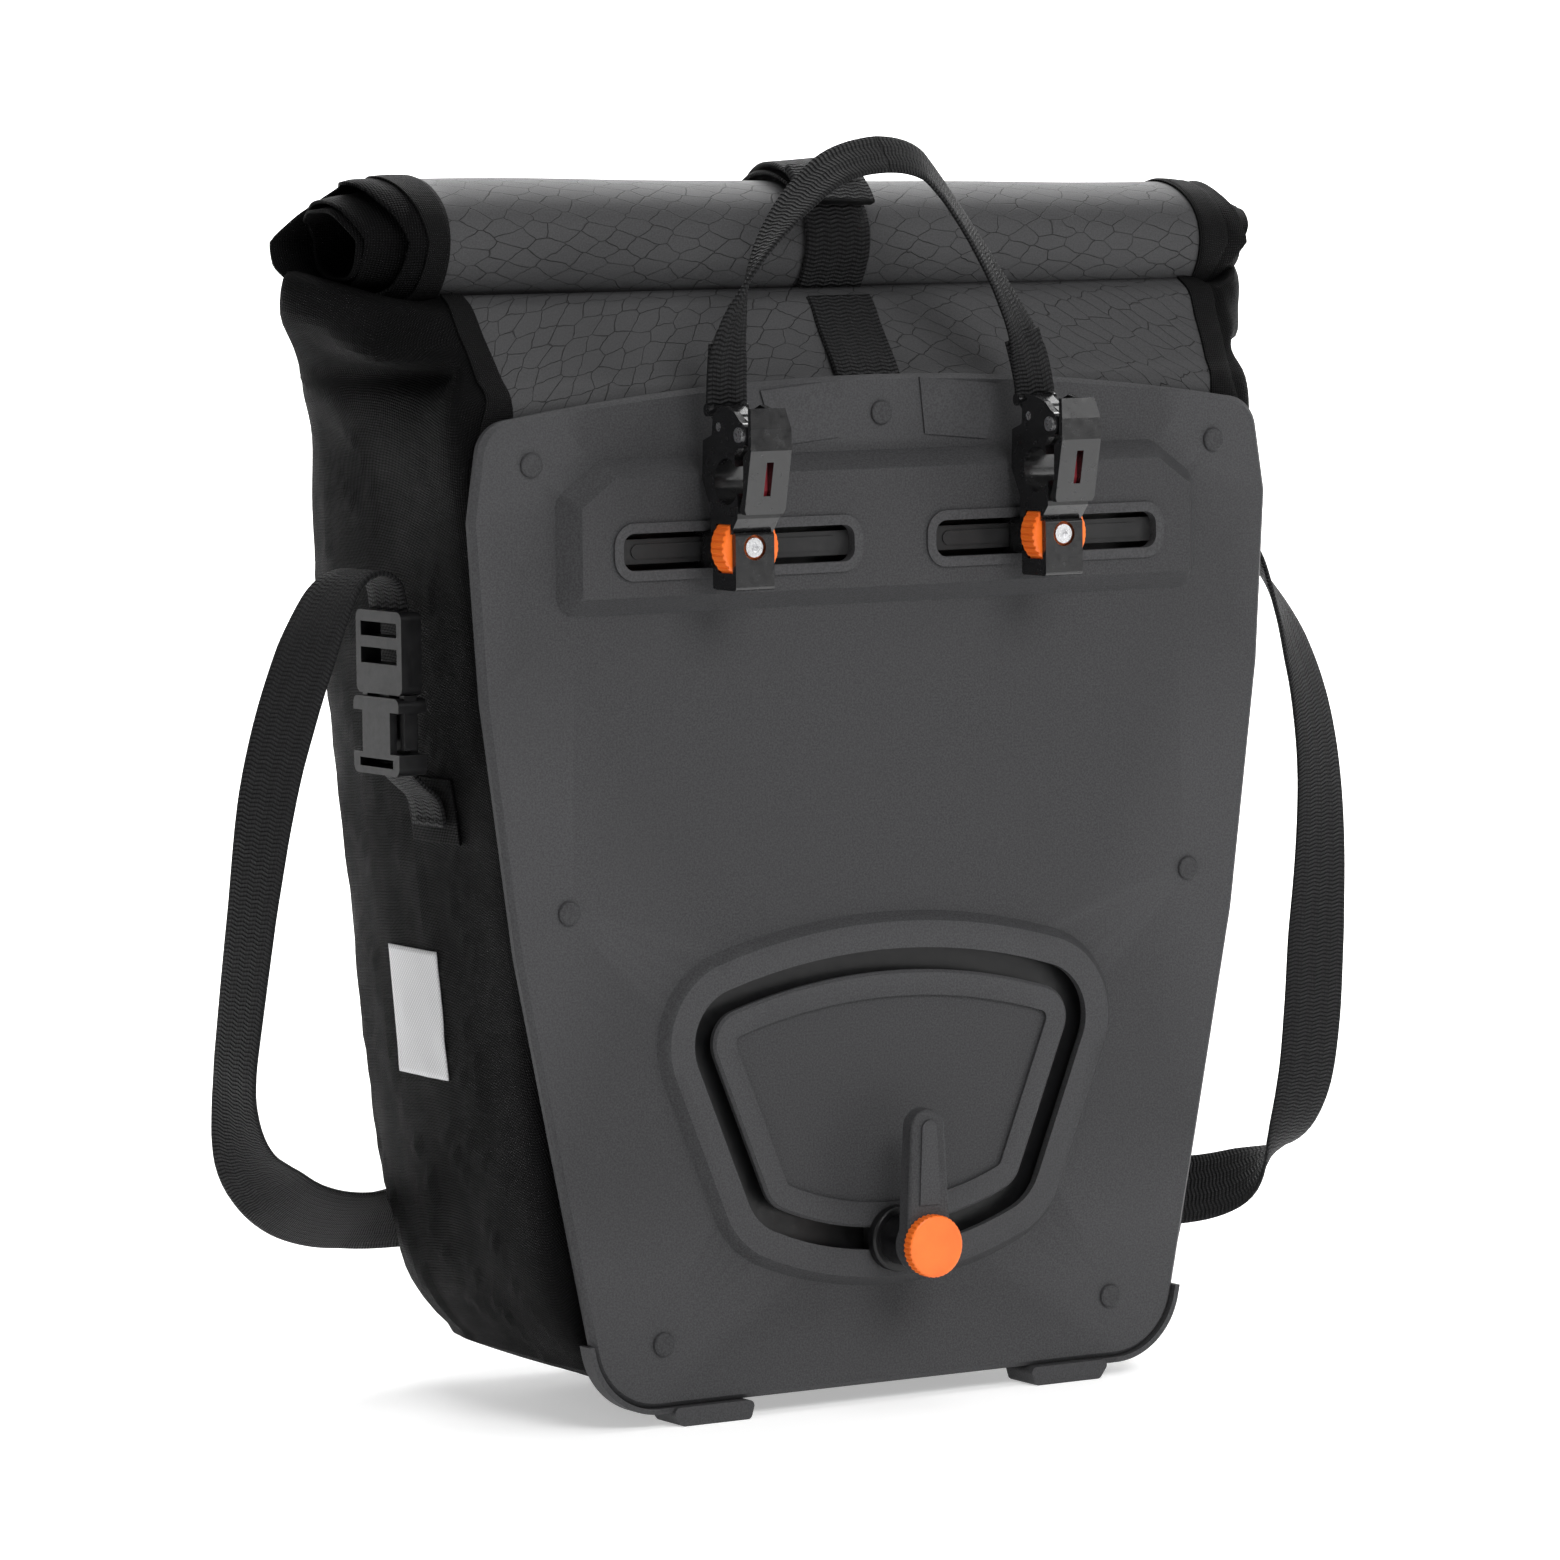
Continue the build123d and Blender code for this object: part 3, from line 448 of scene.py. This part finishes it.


# fabric and tape: the spread between each weave's dark and light colours is painted highlight on the thread
# crowns and painted shade in the gaps
FABRIC = woven("black_fabric", (0.0006, 0.0006, 0.0007), (0.0062, 0.0062, 0.0065), specular=0.06)
TAPE = woven("seam_tape", (0.0014, 0.0014, 0.0015), (0.010, 0.010, 0.0104), thread=0.0008)
# the spread between the webbing's dark and light colours is painted highlight on the rib crowns and painted
# shade in the furrows
WEBBING = webbed("webbing", (0.0025, 0.0025, 0.0027), (0.024, 0.024, 0.025))
LAMINATE = laminated("laminate")
# the panel's lighter edges are a painted highlight, added inside moulded
PANEL = moulded("moulded_panel", (0.028, 0.028, 0.0295), (0.055, 0.055, 0.0575))
RAIL = plastic("rail_plastic", (0.009, 0.009, 0.0095), (0.018, 0.018, 0.0185), 0.5, Specular_IOR_Level=0.3)
SATIN = plastic("black_plastic", (0.0035, 0.0035, 0.004), (0.007, 0.007, 0.0075), 0.34,
                Specular_IOR_Level=0.35)
GLOSS = plastic("gloss_black", (0.0045, 0.0045, 0.005), (0.0085, 0.0085, 0.009), 0.2, Specular_IOR_Level=0.55,
                Coat_Weight=0.3, Coat_Roughness=0.12)
ORANGE = plastic("orange_plastic", (0.86, 0.14, 0.012), (0.95, 0.19, 0.02), 0.36, Specular_IOR_Level=0.45)
RED = plastic("red_pad", (0.16, 0.006, 0.012), (0.24, 0.01, 0.018), 0.45)
STEEL = steel_finish("steel")
SHEET = plastic("stiff_sheet", (0.02, 0.02, 0.021), (0.035, 0.035, 0.036), 0.55)
FILM = film_finish("reflective")
# the spread between the thread's dark and light colours is painted highlight on the rib crowns and painted
# shade in the furrows
THREAD = webbed("thread", (0.006, 0.006, 0.006), (0.035, 0.035, 0.036), rib=0.0005)

SLOT_FINISHES = {"moulded_panel": PANEL, "rail_plastic": RAIL, "black_plastic": SATIN, "gloss_black": GLOSS,
                 "orange_plastic": ORANGE, "red_pad": RED, "steel": STEEL, "stiff_sheet": SHEET,
                 "black_fabric": FABRIC, "laminate": LAMINATE, "webbing": WEBBING, "reflective": FILM}


def finish_nodes():
    """Gives every CAD node the finish of its slot."""
    for subpart in frame["record"]["subparts"]:
        node = frame["nodes"][subpart["node"]]
        node.data.materials.clear()
        node.data.materials.append(SLOT_FINISHES[subpart["material_slot"]])


finish_nodes()
for strap_side in SIDES:
    shoulder_strap(strap_side, WEBBING)


# ---- soft body ----
# A net of control rows from the floor seam to the rolled mouth. Each row runs round one side, from the
# seam in front to the seam behind, as (X outwards, depth, Z).
FRONT_STEPS = 16
SIDE_STEPS = 6
REAR_STEPS = 16


def wall_row(half, back, z, radius=44.0, front=6.5):
    """Row round the side of the body, between a small corner in front and a large one behind."""
    turn = back - radius
    return [(half - 24, front, z), (half - 10, front + 0.4, z), (half - 2.6, front + 5.5, z),
            (half - 0.6, 34, z), (half + 0.4, 64, z), (half + 0.2, turn - 10, z),
            (half - radius * 0.12, turn + radius * 0.5, z), (half - radius * 0.36, back - radius * 0.22, z),
            (half - radius * 0.76, back - radius * 0.02, z), (half - radius - 16, back + 0.8, z)]


def collar_rows(ear, beak):
    """Rows of the folded gusset: a beak that hangs over the side wall and an ear that runs into the roll."""
    return [
        [(146, 6.7, 361), (155.5, 7.4, 361), (166, 13, 361), (166, 35, 362), (174, 66, 363), (178, 84, 362),
         (176, 103, 362), (166, 116, 361), (151, 123, 361), (131, 127, 361)],
        [(147, 11.4, 368), (156.5, 12.0, 368), (164 - beak * 3, 18, 371), (164 - beak * 5, 32, 370),
         (174, 61, 370), (181, 82, 370), (180, 97, 368), (169, 107, 368), (153, 113, 368), (137, 115.5, 368)],
        [(148, 15.6, 375), (157.5, 16.3, 376.5), (166, 20, 379), (173 + beak * 11, 33, 375), (187, 60, 379),
         (190, 80, 380), (184, 92, 377), (172, 100, 375), (157, 103, 375), (143, 104.5, 375)],
        [(149, 20.8, 383), (158.5, 21.0, 384), (166, 23, 386.5), (174 + beak * 10, 32, 386),
         (190 + ear, 60, 391), (191 + ear, 75, 391), (188, 84, 386), (177, 89, 383),
         (162, 91, 383), (149, 91.5, 383)],
        [(150, 26, 392), (159.5, 25.6, 393), (165, 25.5, 393.5), (173 + beak * 9, 32, 397),
         (190 + ear, 62, 405), (190 + ear, 70, 405), (186, 79, 399), (176, 83, 396),
         (164, 84, 395), (152, 84.5, 395)],
        [(150, 33.5, 397), (157.5, 35, 397), (160, 37, 396), (166 + beak * 3, 43, 395), (178 + ear, 57, 401),
         (177 + ear, 64, 401), (172, 72, 396), (166, 76, 396), (158, 77.5, 396), (150, 78, 396)],
    ]


def body_net(side):
    """Control rows of one side, with X positive outwards."""
    rows = [wall_row(122, 133, 24, 34), wall_row(129, 141, 33, 38), wall_row(136, 149, 50, 42),
            wall_row(141, 153, 88),
            wall_row(145.5, 156, 146), wall_row(151, 156, 194), wall_row(157, 154.5, 240),
            wall_row(162.5, 151.5, 290), wall_row(165.5, 149, 320), wall_row(169, 137.5, 346, 38)]
    return rows + (collar_rows(8, 1.0) if side < 0 else collar_rows(3, 0.25))


def side_sheet(side):
    """Dense points of one side: rows upwards, columns from the front seam to the rear seam."""
    net = np.array(body_net(side), float)
    across = catmull(net.transpose(1, 0, 2), SIDE_STEPS).transpose(1, 0, 2)
    steps = [2, 4, 7, 10, 8, 8, 8, 6, 6, 5, 4, 4, 4, 4, 4]
    sheet = catmull(across, steps)
    sheet[..., 0] *= side
    return sheet


LAMINATE_FROM = 335.0


def body_points():
    """Rings of the whole body."""
    left, right = side_sheet(-1), side_sheet(1)
    rings = []
    for row in range(len(left)):
        front = np.linspace(left[row, 0], right[row, 0], 2 * FRONT_STEPS + 1)
        rear = np.linspace(right[row, -1], left[row, -1], 2 * REAR_STEPS + 1)
        bulge = 1 - np.linspace(-1, 1, 2 * REAR_STEPS + 1) ** 2
        rear[:, 1] += bulge * 1.5
        rings.append(np.concatenate([front, right[row, 1:], rear[1:], left[row, ::-1][1:-1]]))
    return np.array(rings)


def crumple(points):
    """Soft dents and creases in the fabric, none in the flat front."""
    for ring in points:
        for point in ring:
            x, depth, z = point
            wall = min(1.0, max(0.0, (depth - 14) / 30)) * min(1.0, max(0.0, (392 - z) / 30))
            if wall <= 0:
                continue
            soft = noise.noise(Vector((x / 75, depth / 75, z / 95)))
            fold = noise.noise(Vector((x / 30 + z / 60, depth / 24 - z / 40, z / 80 + 7.3)))
            crease = max(0.0, 1 - abs(fold) * 9)
            low = 1 + 1.2 * math.exp(-((z - 60) / 45) ** 2)
            push = wall * low * (1.5 * soft + 0.7 * crease - 0.8)
            centre = np.array([0, 72])
            away = np.array([x, depth]) - centre
            away[0] = math.copysign(min(abs(away[0]), 90), x) if depth < 120 else away[0]
            away /= np.linalg.norm(away) + 1e-6
            point[0] += away[0] * push
            point[1] += away[1] * push
    return points


def floor_points(ring):
    """Rings that close the bottom: a rounded edge, then a floor that sags to the ground."""
    rings = []
    for scale in (0.04, 0.2, 0.36, 0.48, 0.6, 0.72, 0.82, 0.9, 0.955, 0.985):
        low = ring.copy()
        low[:, 0] = ring[:, 0] * scale
        low[:, 1] = 72 + (ring[:, 1] - 72) * scale
        rise = max(0.0, (scale - 0.44) / 0.56)
        low[:, 2] = 0.4 + 21.0 * rise ** 1.35
        rings.append(low)
    return np.array(rings)


def metres(points):
    return points * MM + np.array([0, PANEL_FRONT, 0])


def sheet_uvs(points, loop=True):
    """UVs in metres from the arc lengths along each row and column."""
    following = np.concatenate([points, points[:, :1]], axis=1) if loop else points
    steps = np.linalg.norm(np.diff(following, axis=1), axis=2)
    u = np.concatenate([np.zeros((len(points), 1)), np.cumsum(steps, axis=1)], axis=1)
    rises = np.linalg.norm(np.diff(following, axis=0), axis=2)
    v = np.concatenate([np.zeros((1, following.shape[1])), np.cumsum(rises, axis=0)], axis=0)
    return np.stack([u, v], axis=2)


WALLS = body_points()
SEAM_COLUMNS = (0, 2 * FRONT_STEPS, 2 * FRONT_STEPS + 9 * SIDE_STEPS,
                2 * FRONT_STEPS + 9 * SIDE_STEPS + 2 * REAR_STEPS)


def soft_body():
    """The body and its collar as one sewn sheet, open at the mouth."""
    walls = crumple(WALLS.copy())
    points = metres(np.concatenate([floor_points(walls[0]), walls]))
    heights = points[:, 0, 2] / MM

    def panel_of(row, column):
        front = column < SEAM_COLUMNS[1]
        rear = SEAM_COLUMNS[2] <= column < SEAM_COLUMNS[3]
        return 1 if (front or rear) and heights[row] > LAMINATE_FROM else 0

    piece = grid_mesh("bag_body", points, sheet_uvs(points), close_rows=True, slots=panel_of)
    piece.data.materials.append(FABRIC)
    piece.data.materials.append(LAMINATE)
    thicken(piece, 1.0 * MM)
    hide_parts("back_fabric", "outer_fabric", "side_fabric_left", "side_fabric_right", "base_fabric",
                "gusset_left", "gusset_right", "collar_front", "collar_rear")
    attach(piece, "root")
    return walls


def lifted(name, points, lift, thickness, material, body="root"):
    """Strip sewn onto a surface: the same points moved out along the surface's normal."""
    along = np.gradient(points, axis=1)
    upward = np.gradient(points, axis=0)
    normal = np.cross(along, upward)
    normal /= np.linalg.norm(normal, axis=2, keepdims=True) + 1e-12
    raised = points + normal * (lift + thickness)
    piece = grid_mesh(name, raised, sheet_uvs(raised, loop=False))
    piece.data.materials.append(material)
    thicken(piece, thickness)
    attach(piece, body)
    return piece


def seam_tapes(walls):
    """Binding over each edge of the grey collar."""
    rows = [row for row in range(len(walls)) if walls[row, 0, 2] > LAMINATE_FROM]
    low, high = rows[0], rows[-1] + 1
    for name, column, step in (("front_right", SEAM_COLUMNS[1], 1), ("front_left", 0, -1),
                               ("rear_right", SEAM_COLUMNS[2], -1), ("rear_left", SEAM_COLUMNS[3], 1)):
        columns = sorted((column + step * number) % walls.shape[1] for number in range(7))
        if name == "front_left":
            columns = [walls.shape[1] - 6 + number for number in range(6)] + [0]
        lifted(f"seam_tape_{name}", metres(walls[low:high][:, columns]), 0.05 * MM, 0.7 * MM, TAPE)


BODY_WALLS = soft_body()
seam_tapes(BODY_WALLS)


# ---- rolled mouth ----
ROLL_DEPTH, ROLL_Z = 56.0, 413.0
ROLL_HALF_DEPTH, ROLL_HALF_Z = 28.0, 23.8
LAMINATE_HALF = 157.0
TURNS = 2.6
ROLL_LEAN = 0.017          # fall of the roll towards its right end
ROLL_END_ANGLES = (0, 45, 90, 120, 150, 180, 210, 270, 315, 360)
ROLL_ENDS = {-1: (172, 180, 185, 179, 190, 200, 201, 190, 176, 172),
             1: (180, 176, 173, 176, 188, 197, 193, 180, 165, 180)}


def roll_section(angle, inward):
    """Point of the spiral at an angle from the bottom front, this far inside the outer turn."""
    flat = 1 + 0.03 * math.sin(2 * angle)
    return (ROLL_DEPTH - (ROLL_HALF_DEPTH - inward) * flat * math.cos(angle),
            ROLL_Z + (ROLL_HALF_Z - inward) * math.sin(angle) / flat)


def roll_end(side, angle, turn):
    """Where the folded end of the roll stops, by angle round it and by turn."""
    degrees = math.degrees(angle) % 360
    if turn < 1:
        return float(np.interp(degrees, ROLL_END_ANGLES, ROLL_ENDS[side]))
    inner = 183 + 7 * max(0.0, math.sin(angle)) + 2 * turn
    return inner - (4 if side > 0 else 0)


def rolled_mouth():
    """Spiral of the collar's upper part, with its black ends folded in."""
    count = 150
    start = math.radians(-70)
    rows, uvs, run, last = [], [], 0.0, None
    grey = np.linspace(-LAMINATE_HALF, LAMINATE_HALF, 41)
    ends = np.linspace(0, 1, 14)[1:]
    for number in range(count):
        wound = number / (count - 1) * TURNS
        angle = start + wound * 2 * math.pi
        inward = 2.2 * wound + 2.2 * min(wound, 1) * min(wound, 1.3)
        row = []
        for side in (-1, 1):
            reach = roll_end(side, angle, wound)
            for end in (ends[::-1] if side < 0 else ends):
                x = LAMINATE_HALF + (reach - LAMINATE_HALF) * end
                wobble = noise.noise(Vector((x / 14 * side, angle * 1.3, wound * 2)))
                squeeze = inward + end ** 2 * (1.5 + 2.6 * wobble) + (2.0 * end ** 3 if wound > 1 else 0)
                depth, z = roll_section(angle, squeeze)
                row.append((side * x, depth, z))
            if side < 0:
                for x in grey:
                    soft = noise.noise(Vector((x / 60, angle * 0.8, wound)))
                    depth, z = roll_section(angle, inward + 0.5 + 0.6 * soft)
                    row.append((x, depth, z))
        row = np.array(row)
        if last is not None:
            run += float(np.linalg.norm(row[30] - last[30])) * MM
        last = row
        rows.append(row)
        uvs.append([(x * MM, run) for x in row[:, 0]])
    rows = np.array(rows)
    rows[..., 2] -= ROLL_LEAN * rows[..., 0]
    points = metres(rows)
    low, high = len(ends), len(ends) + len(grey) - 1
    piece = grid_mesh("rolled_mouth", points, np.array(uvs),
                      slots=lambda row, column: 1 if low <= column < high else 0)
    piece.data.materials.append(FABRIC)
    piece.data.materials.append(LAMINATE)
    thicken(piece, 1.1 * MM)
    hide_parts("rolled_top")
    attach(piece, "roll")
    outer = int(count / TURNS) + 2
    for name, columns in (("left", range(low - 7, low + 1)), ("right", range(high, high + 8))):
        band = points[:outer][:, list(columns)]
        lifted(f"roll_tape_{name}", band, 0.05 * MM, 0.8 * MM, TAPE, body="roll")


rolled_mouth()


# ---- closure strap ----
CLOSURE_WIDTH = 27.0 * MM
CLOSURE_THICK = 1.7 * MM


def flat_ribbon(name, route, across, width, thickness, material, resolution=8, order=3):
    line = curve_points([place(*point) for point in route], order=order, resolution=resolution)
    return ribbon(name, line, [Vector(across)] * len(line), width, thickness, material)


def round_roll(clearance, start, end, count):
    """Route round the outside of the roll between two angles in degrees."""
    route = []
    for number in range(count):
        angle = math.radians(start + (end - start) * number / (count - 1))
        route.append((0.0, *roll_section(angle, -clearance)))
    return route


def closure():
    front = flat_ribbon("closure_webbing_front",
                        [(0, 5.1, 346), (0, 5.1, 354), (0, 6.0, 362), (0, 10.5, 370), (0, 16.5, 378),
                         (0, 21.5, 385),
                         (0, 24.0, 390), (0, 27.5, 393.5)], (1, 0, 0), CLOSURE_WIDTH, CLOSURE_THICK, WEBBING)
    over = flat_ribbon("closure_webbing_top", round_roll(1.2, -38, 196, 14), (1, 0, 0), CLOSURE_WIDTH,
                       CLOSURE_THICK, WEBBING)
    tab_route = [(6, 88, 421), (5, 80, 434), (3, 68, 440.5), (1, 54, 442), (0, 42, 439),
                 (0, 34, 433.5), (0, 29.5, 428.5)]
    tab = flat_ribbon("closure_tab", tab_route, (1, 0.1, 0.06), CLOSURE_WIDTH * 1.02, CLOSURE_THICK, WEBBING)
    hem_route = [(0, 38.5, 438.8), (0, 33, 434.6), (0, 28, 429.6), (0, 26.4, 427.3)]
    hem = flat_ribbon("closure_hem", hem_route, (1, 0.1, 0.02), CLOSURE_WIDTH * 1.16, 3.4 * MM, WEBBING)
    outer = flat_ribbon("closure_webbing_outer",
                        [(0, 158.2, 203), (0, 157.0, 230), (0, 155.6, 260), (0, 153.8, 290), (0, 152.0, 312),
                         (0, 147.5, 325), (0, 138.5, 343), (0, 130.2, 360), (0, 122.5, 366.5),
                         (0, 113.4, 372.4)],
                        (1, 0, 0), CLOSURE_WIDTH * 0.94, CLOSURE_THICK, WEBBING)
    for piece, body in ((front, "root"), (over, "roll"), (tab, "roll"), (hem, "roll"), (outer, "root")):
        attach(piece, body)
    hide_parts("closure_strap_front")
    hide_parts("closure_strap_top")
    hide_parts("closure_strap_outer")
    stitch_rows("closure_hem_stitches", [((-13.0, 33.0, 436.9), (13.0, 33.0, 436.9)),
                                         ((-13.0, 30.4, 434.4), (13.0, 30.4, 434.4))], (0, -0.7, 0.7), "roll")


# ---- stitching ----
def stitch_rows(name, rows, facing, body, pitch=2.8, length=2.0, radius=0.28):
    """Rows of thread: each stitch is a short bent length, its ends sunk in the cloth."""
    points, faces, uvs = [], [], []
    facing = Vector(facing).normalized()
    for start, end in rows:
        start, end = place(*start), place(*end)
        run = end - start
        along = run.normalized()
        side = along.cross(facing).normalized()
        for number in range(max(1, int(run.length / (pitch * MM)))):
            middle = start + along * ((number + 0.5) * pitch * MM)
            base = len(points)
            for station, height in ((-0.5, -0.5), (-0.3, 0.6), (0.0, 0.9), (0.3, 0.6), (0.5, -0.5)):
                centre = middle + along * (station * length * MM) + facing * (height * radius * MM)
                for turn in range(6):
                    angle = turn * math.pi / 3
                    offset = side * math.cos(angle) + facing * math.sin(angle)
                    points.append(centre + offset * (radius * MM))
            for ring in range(4):
                for turn in range(6):
                    after = (turn + 1) % 6
                    faces.append((base + ring * 6 + turn, base + ring * 6 + after,
                                  base + ring * 6 + 6 + after, base + ring * 6 + 6 + turn))
                    uvs += [(turn * 0.0003, ring * 0.0005)] * 4
            faces.append(tuple(base + turn for turn in reversed(range(6))))
            faces.append(tuple(base + 24 + turn for turn in range(6)))
            uvs += [(0.0, 0.0)] * 12
    data = bpy.data.meshes.new(name)
    data.from_pydata(points, [], faces)
    data.uv_layers.new(name="UVMap").data.foreach_set("uv", np.array(uvs, float).reshape(-1))
    data.polygons.foreach_set("use_smooth", [True] * len(faces))
    data.materials.append(THREAD)
    piece = link(name, data)
    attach(piece, body)
    return piece


closure()


# ---- carry handle ----
HANDLE_WIDTH = 16.0 * MM
HANDLE_THICK = 1.6 * MM
HANDLE_LEFT = [(-72, -14.6, 358), (-72.5, -15.2, 368), (-72, -17, 382), (-66, -18.5, 400), (-56, -17.5, 416),
               (-40, -16, 432), (-23, -15.2, 443), (-8, -15, 443.8)]
HANDLE_RIGHT = [(56, -14.6, 358), (54.5, -15, 368), (50, -15, 381), (40, -15, 399), (28, -15, 417),
                (16, -15, 433), (5, -15, 443.8), (-8, -15, 443.8)]
HANDLE_LEFT_ACROSS = [(1, 0, 0), (1, 0.05, 0), (0.9, 0.45, 0), (0.5, 0.85, 0.05), (0.2, 0.95, 0.2),
                      (-0.1, 0.9, 0.4), (-0.1, 0.75, 0.65), (0, 0.6, 0.8)]
HANDLE_RIGHT_ACROSS = [(1, 0, 0), (1, 0.1, 0), (0.85, 0.5, 0.25), (0.6, 0.7, 0.4), (0.4, 0.75, 0.5),
                       (0.2, 0.72, 0.65), (0.1, 0.65, 0.75), (0, 0.6, 0.8)]


HANDLE_HALVES = (("left", HANDLE_LEFT, HANDLE_LEFT_ACROSS), ("right", HANDLE_RIGHT, HANDLE_RIGHT_ACROSS))


def handle():
    """Both halves of the handle, each with its doubled end on the release lever."""
    for side, route, across in HANDLE_HALVES:
        line = curve_points([place(*point) for point in route], resolution=10)
        keys = [Vector(key).normalized() for key in across]
        half = ribbon(f"handle_webbing_{side}", line, spread(keys, len(line)), HANDLE_WIDTH, HANDLE_THICK,
                      WEBBING)
        if side == "left":
            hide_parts("carry_handle")
        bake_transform(half)
        end_route = [(HOOK_X[side], -12.6, 357), (HOOK_X[side], -13.0, 364), (route[2][0], -15.0, 379.5)]
        doubled = flat_ribbon(f"handle_end_{side}", end_route, (1, 0.05, 0), HANDLE_WIDTH * 0.97,
                              HANDLE_THICK, WEBBING)
        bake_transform(doubled)


handle()


# ---- patches on the side walls ----
def wall_patch(side, depth_low, depth_high, z_low, z_high, count=24):
    """Points of a patch that lies on the crumpled side wall."""
    walls = BODY_WALLS
    if side > 0:
        columns = range(SEAM_COLUMNS[1] + 2, SEAM_COLUMNS[2])
    else:
        columns = list(range(walls.shape[1] - 2, SEAM_COLUMNS[3], -1))
    sheet = walls[:, list(columns)]
    rows = np.linspace(z_low, z_high, count)
    depths = np.linspace(depth_low, depth_high, count)
    level = []
    for z in rows:
        ring = np.array([[np.interp(z, sheet[:, column, 2], sheet[:, column, axis]) for axis in (0, 1)]
                         for column in range(sheet.shape[1])])
        level.append(np.stack([np.interp(depths, ring[:, 1], ring[:, 0]), depths, np.full(count, z)], axis=1))
    points = np.array(level)
    if side < 0:
        points = points[:, ::-1]
    return points


def side_patches(side_name):
    side = SIDES[side_name]
    field = metres(wall_patch(side, 62, 98, 120, 166))
    mark = lifted(f"reflector_{side_name}", field, 0.1 * MM, 0.5 * MM, FILM)
    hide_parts(f"side_reflector_{side_name}")
    sewn = metres(wall_patch(side, 35.5, 67.5, 206, 229))
    base = lifted(f"buckle_patch_{side_name}", sewn, 0.1 * MM, 1.2 * MM, FABRIC)
    wall = wall_patch(side, 51, 52, 206, 229)
    foot = abs(wall[12, 0, 0]) + 2.0
    centre = middle_x(f"buckle_socket_{side_name}")
    route = [(side * foot, 51.4, 212), (side * (foot + 0.4), 51.4, 221), (centre - side * 7, 51.4, 227),
             (centre - side * 3.2, 51.4, 231), (centre - side * 0.2, 51.4, 235.2)]
    loop = flat_ribbon(f"buckle_loop_{side_name}", route, (0, 1, 0), 23.5 * MM, 1.6 * MM, WEBBING)
    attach(loop, "root")
    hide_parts(f"buckle_web_{side_name}")
    outside = foot + 0.9
    stitch_rows(f"buckle_stitches_{side_name}",
                [((side * outside, 40.5, 214), (side * outside, 62.5, 214)),
                 ((side * outside, 40.5, 218.5), (side * outside, 62.5, 218.5))], (side, 0, 0.05), "root")


for patch_side in SIDES:
    side_patches(patch_side)


# ---- stage and light ----
def stage():
    """Pale floor that curves up into a pale backdrop."""
    across = (-6.0, 6.0)
    outline = [(-4.0, 0.0), (0.8, 0.0)]
    for step in range(13):
        angle = math.radians(90 * step / 12)
        outline.append((1.6 + 1.2 * math.sin(angle), 1.2 - 1.2 * math.cos(angle)))
    outline.append((2.8, 5.0))
    turn = math.radians(-31.42)
    rows = []
    for away, height in outline:
        rows.append([(x * math.cos(turn) - away * math.sin(turn),
                      x * math.sin(turn) + away * math.cos(turn), height) for x in across])
    points = np.array(rows)
    floor = grid_mesh("floor", points, sheet_uvs(points, loop=False))
    paint = Finish("pale_floor", (0.9, 0.9, 0.9), 0.85, Specular_IOR_Level=0.1, Emission_Color=(1, 1, 1, 1),
                   Emission_Strength=0.42)
    paint.colours(paint.noise(paint.coordinates("Object"), 3, 2), (0.89, 0.89, 0.89), (0.91, 0.91, 0.91))
    floor.data.materials.append(paint.material)


def area_light(name, place_, target, size, power):
    data = bpy.data.lights.new(name, "AREA")
    data.shape = "RECTANGLE"
    data.size, data.size_y = size
    data.energy = power
    light = link(name, data)
    light.location = place_
    light.rotation_euler = (Vector(target) - Vector(place_)).to_track_quat("-Z", "Y").to_euler()


def lighting():
    world = bpy.data.worlds.new("studio")
    world.use_nodes = True
    background = world.node_tree.nodes["Background"]
    background.inputs["Color"].default_value = (1, 1, 1, 1)
    background.inputs["Strength"].default_value = 0.08
    bpy.context.scene.world = world
    bpy.context.scene.view_settings.view_transform = "Standard"
    area_light("key", (-0.1, -2.6, 2.0), (0.0, 0.0, 0.25), (1.6, 1.2), 54)
    area_light("fill_right", (2.0, -2.0, 0.9), (0.0, 0.0, 0.2), (1.0, 1.4), 13)
    area_light("edge_left", (-2.2, -0.2, 1.3), (0.0, 0.0, 0.25), (0.5, 1.4), 6)
    area_light("floor_light", (0.2, -0.4, 3.4), (0.2, 0.3, 0.0), (2.4, 2.4), 34)
    area_light("backdrop", (0.9, 1.2, 2.6), (1.4, 2.4, 0.6), (2.4, 1.2), 95)


stage()
lighting()
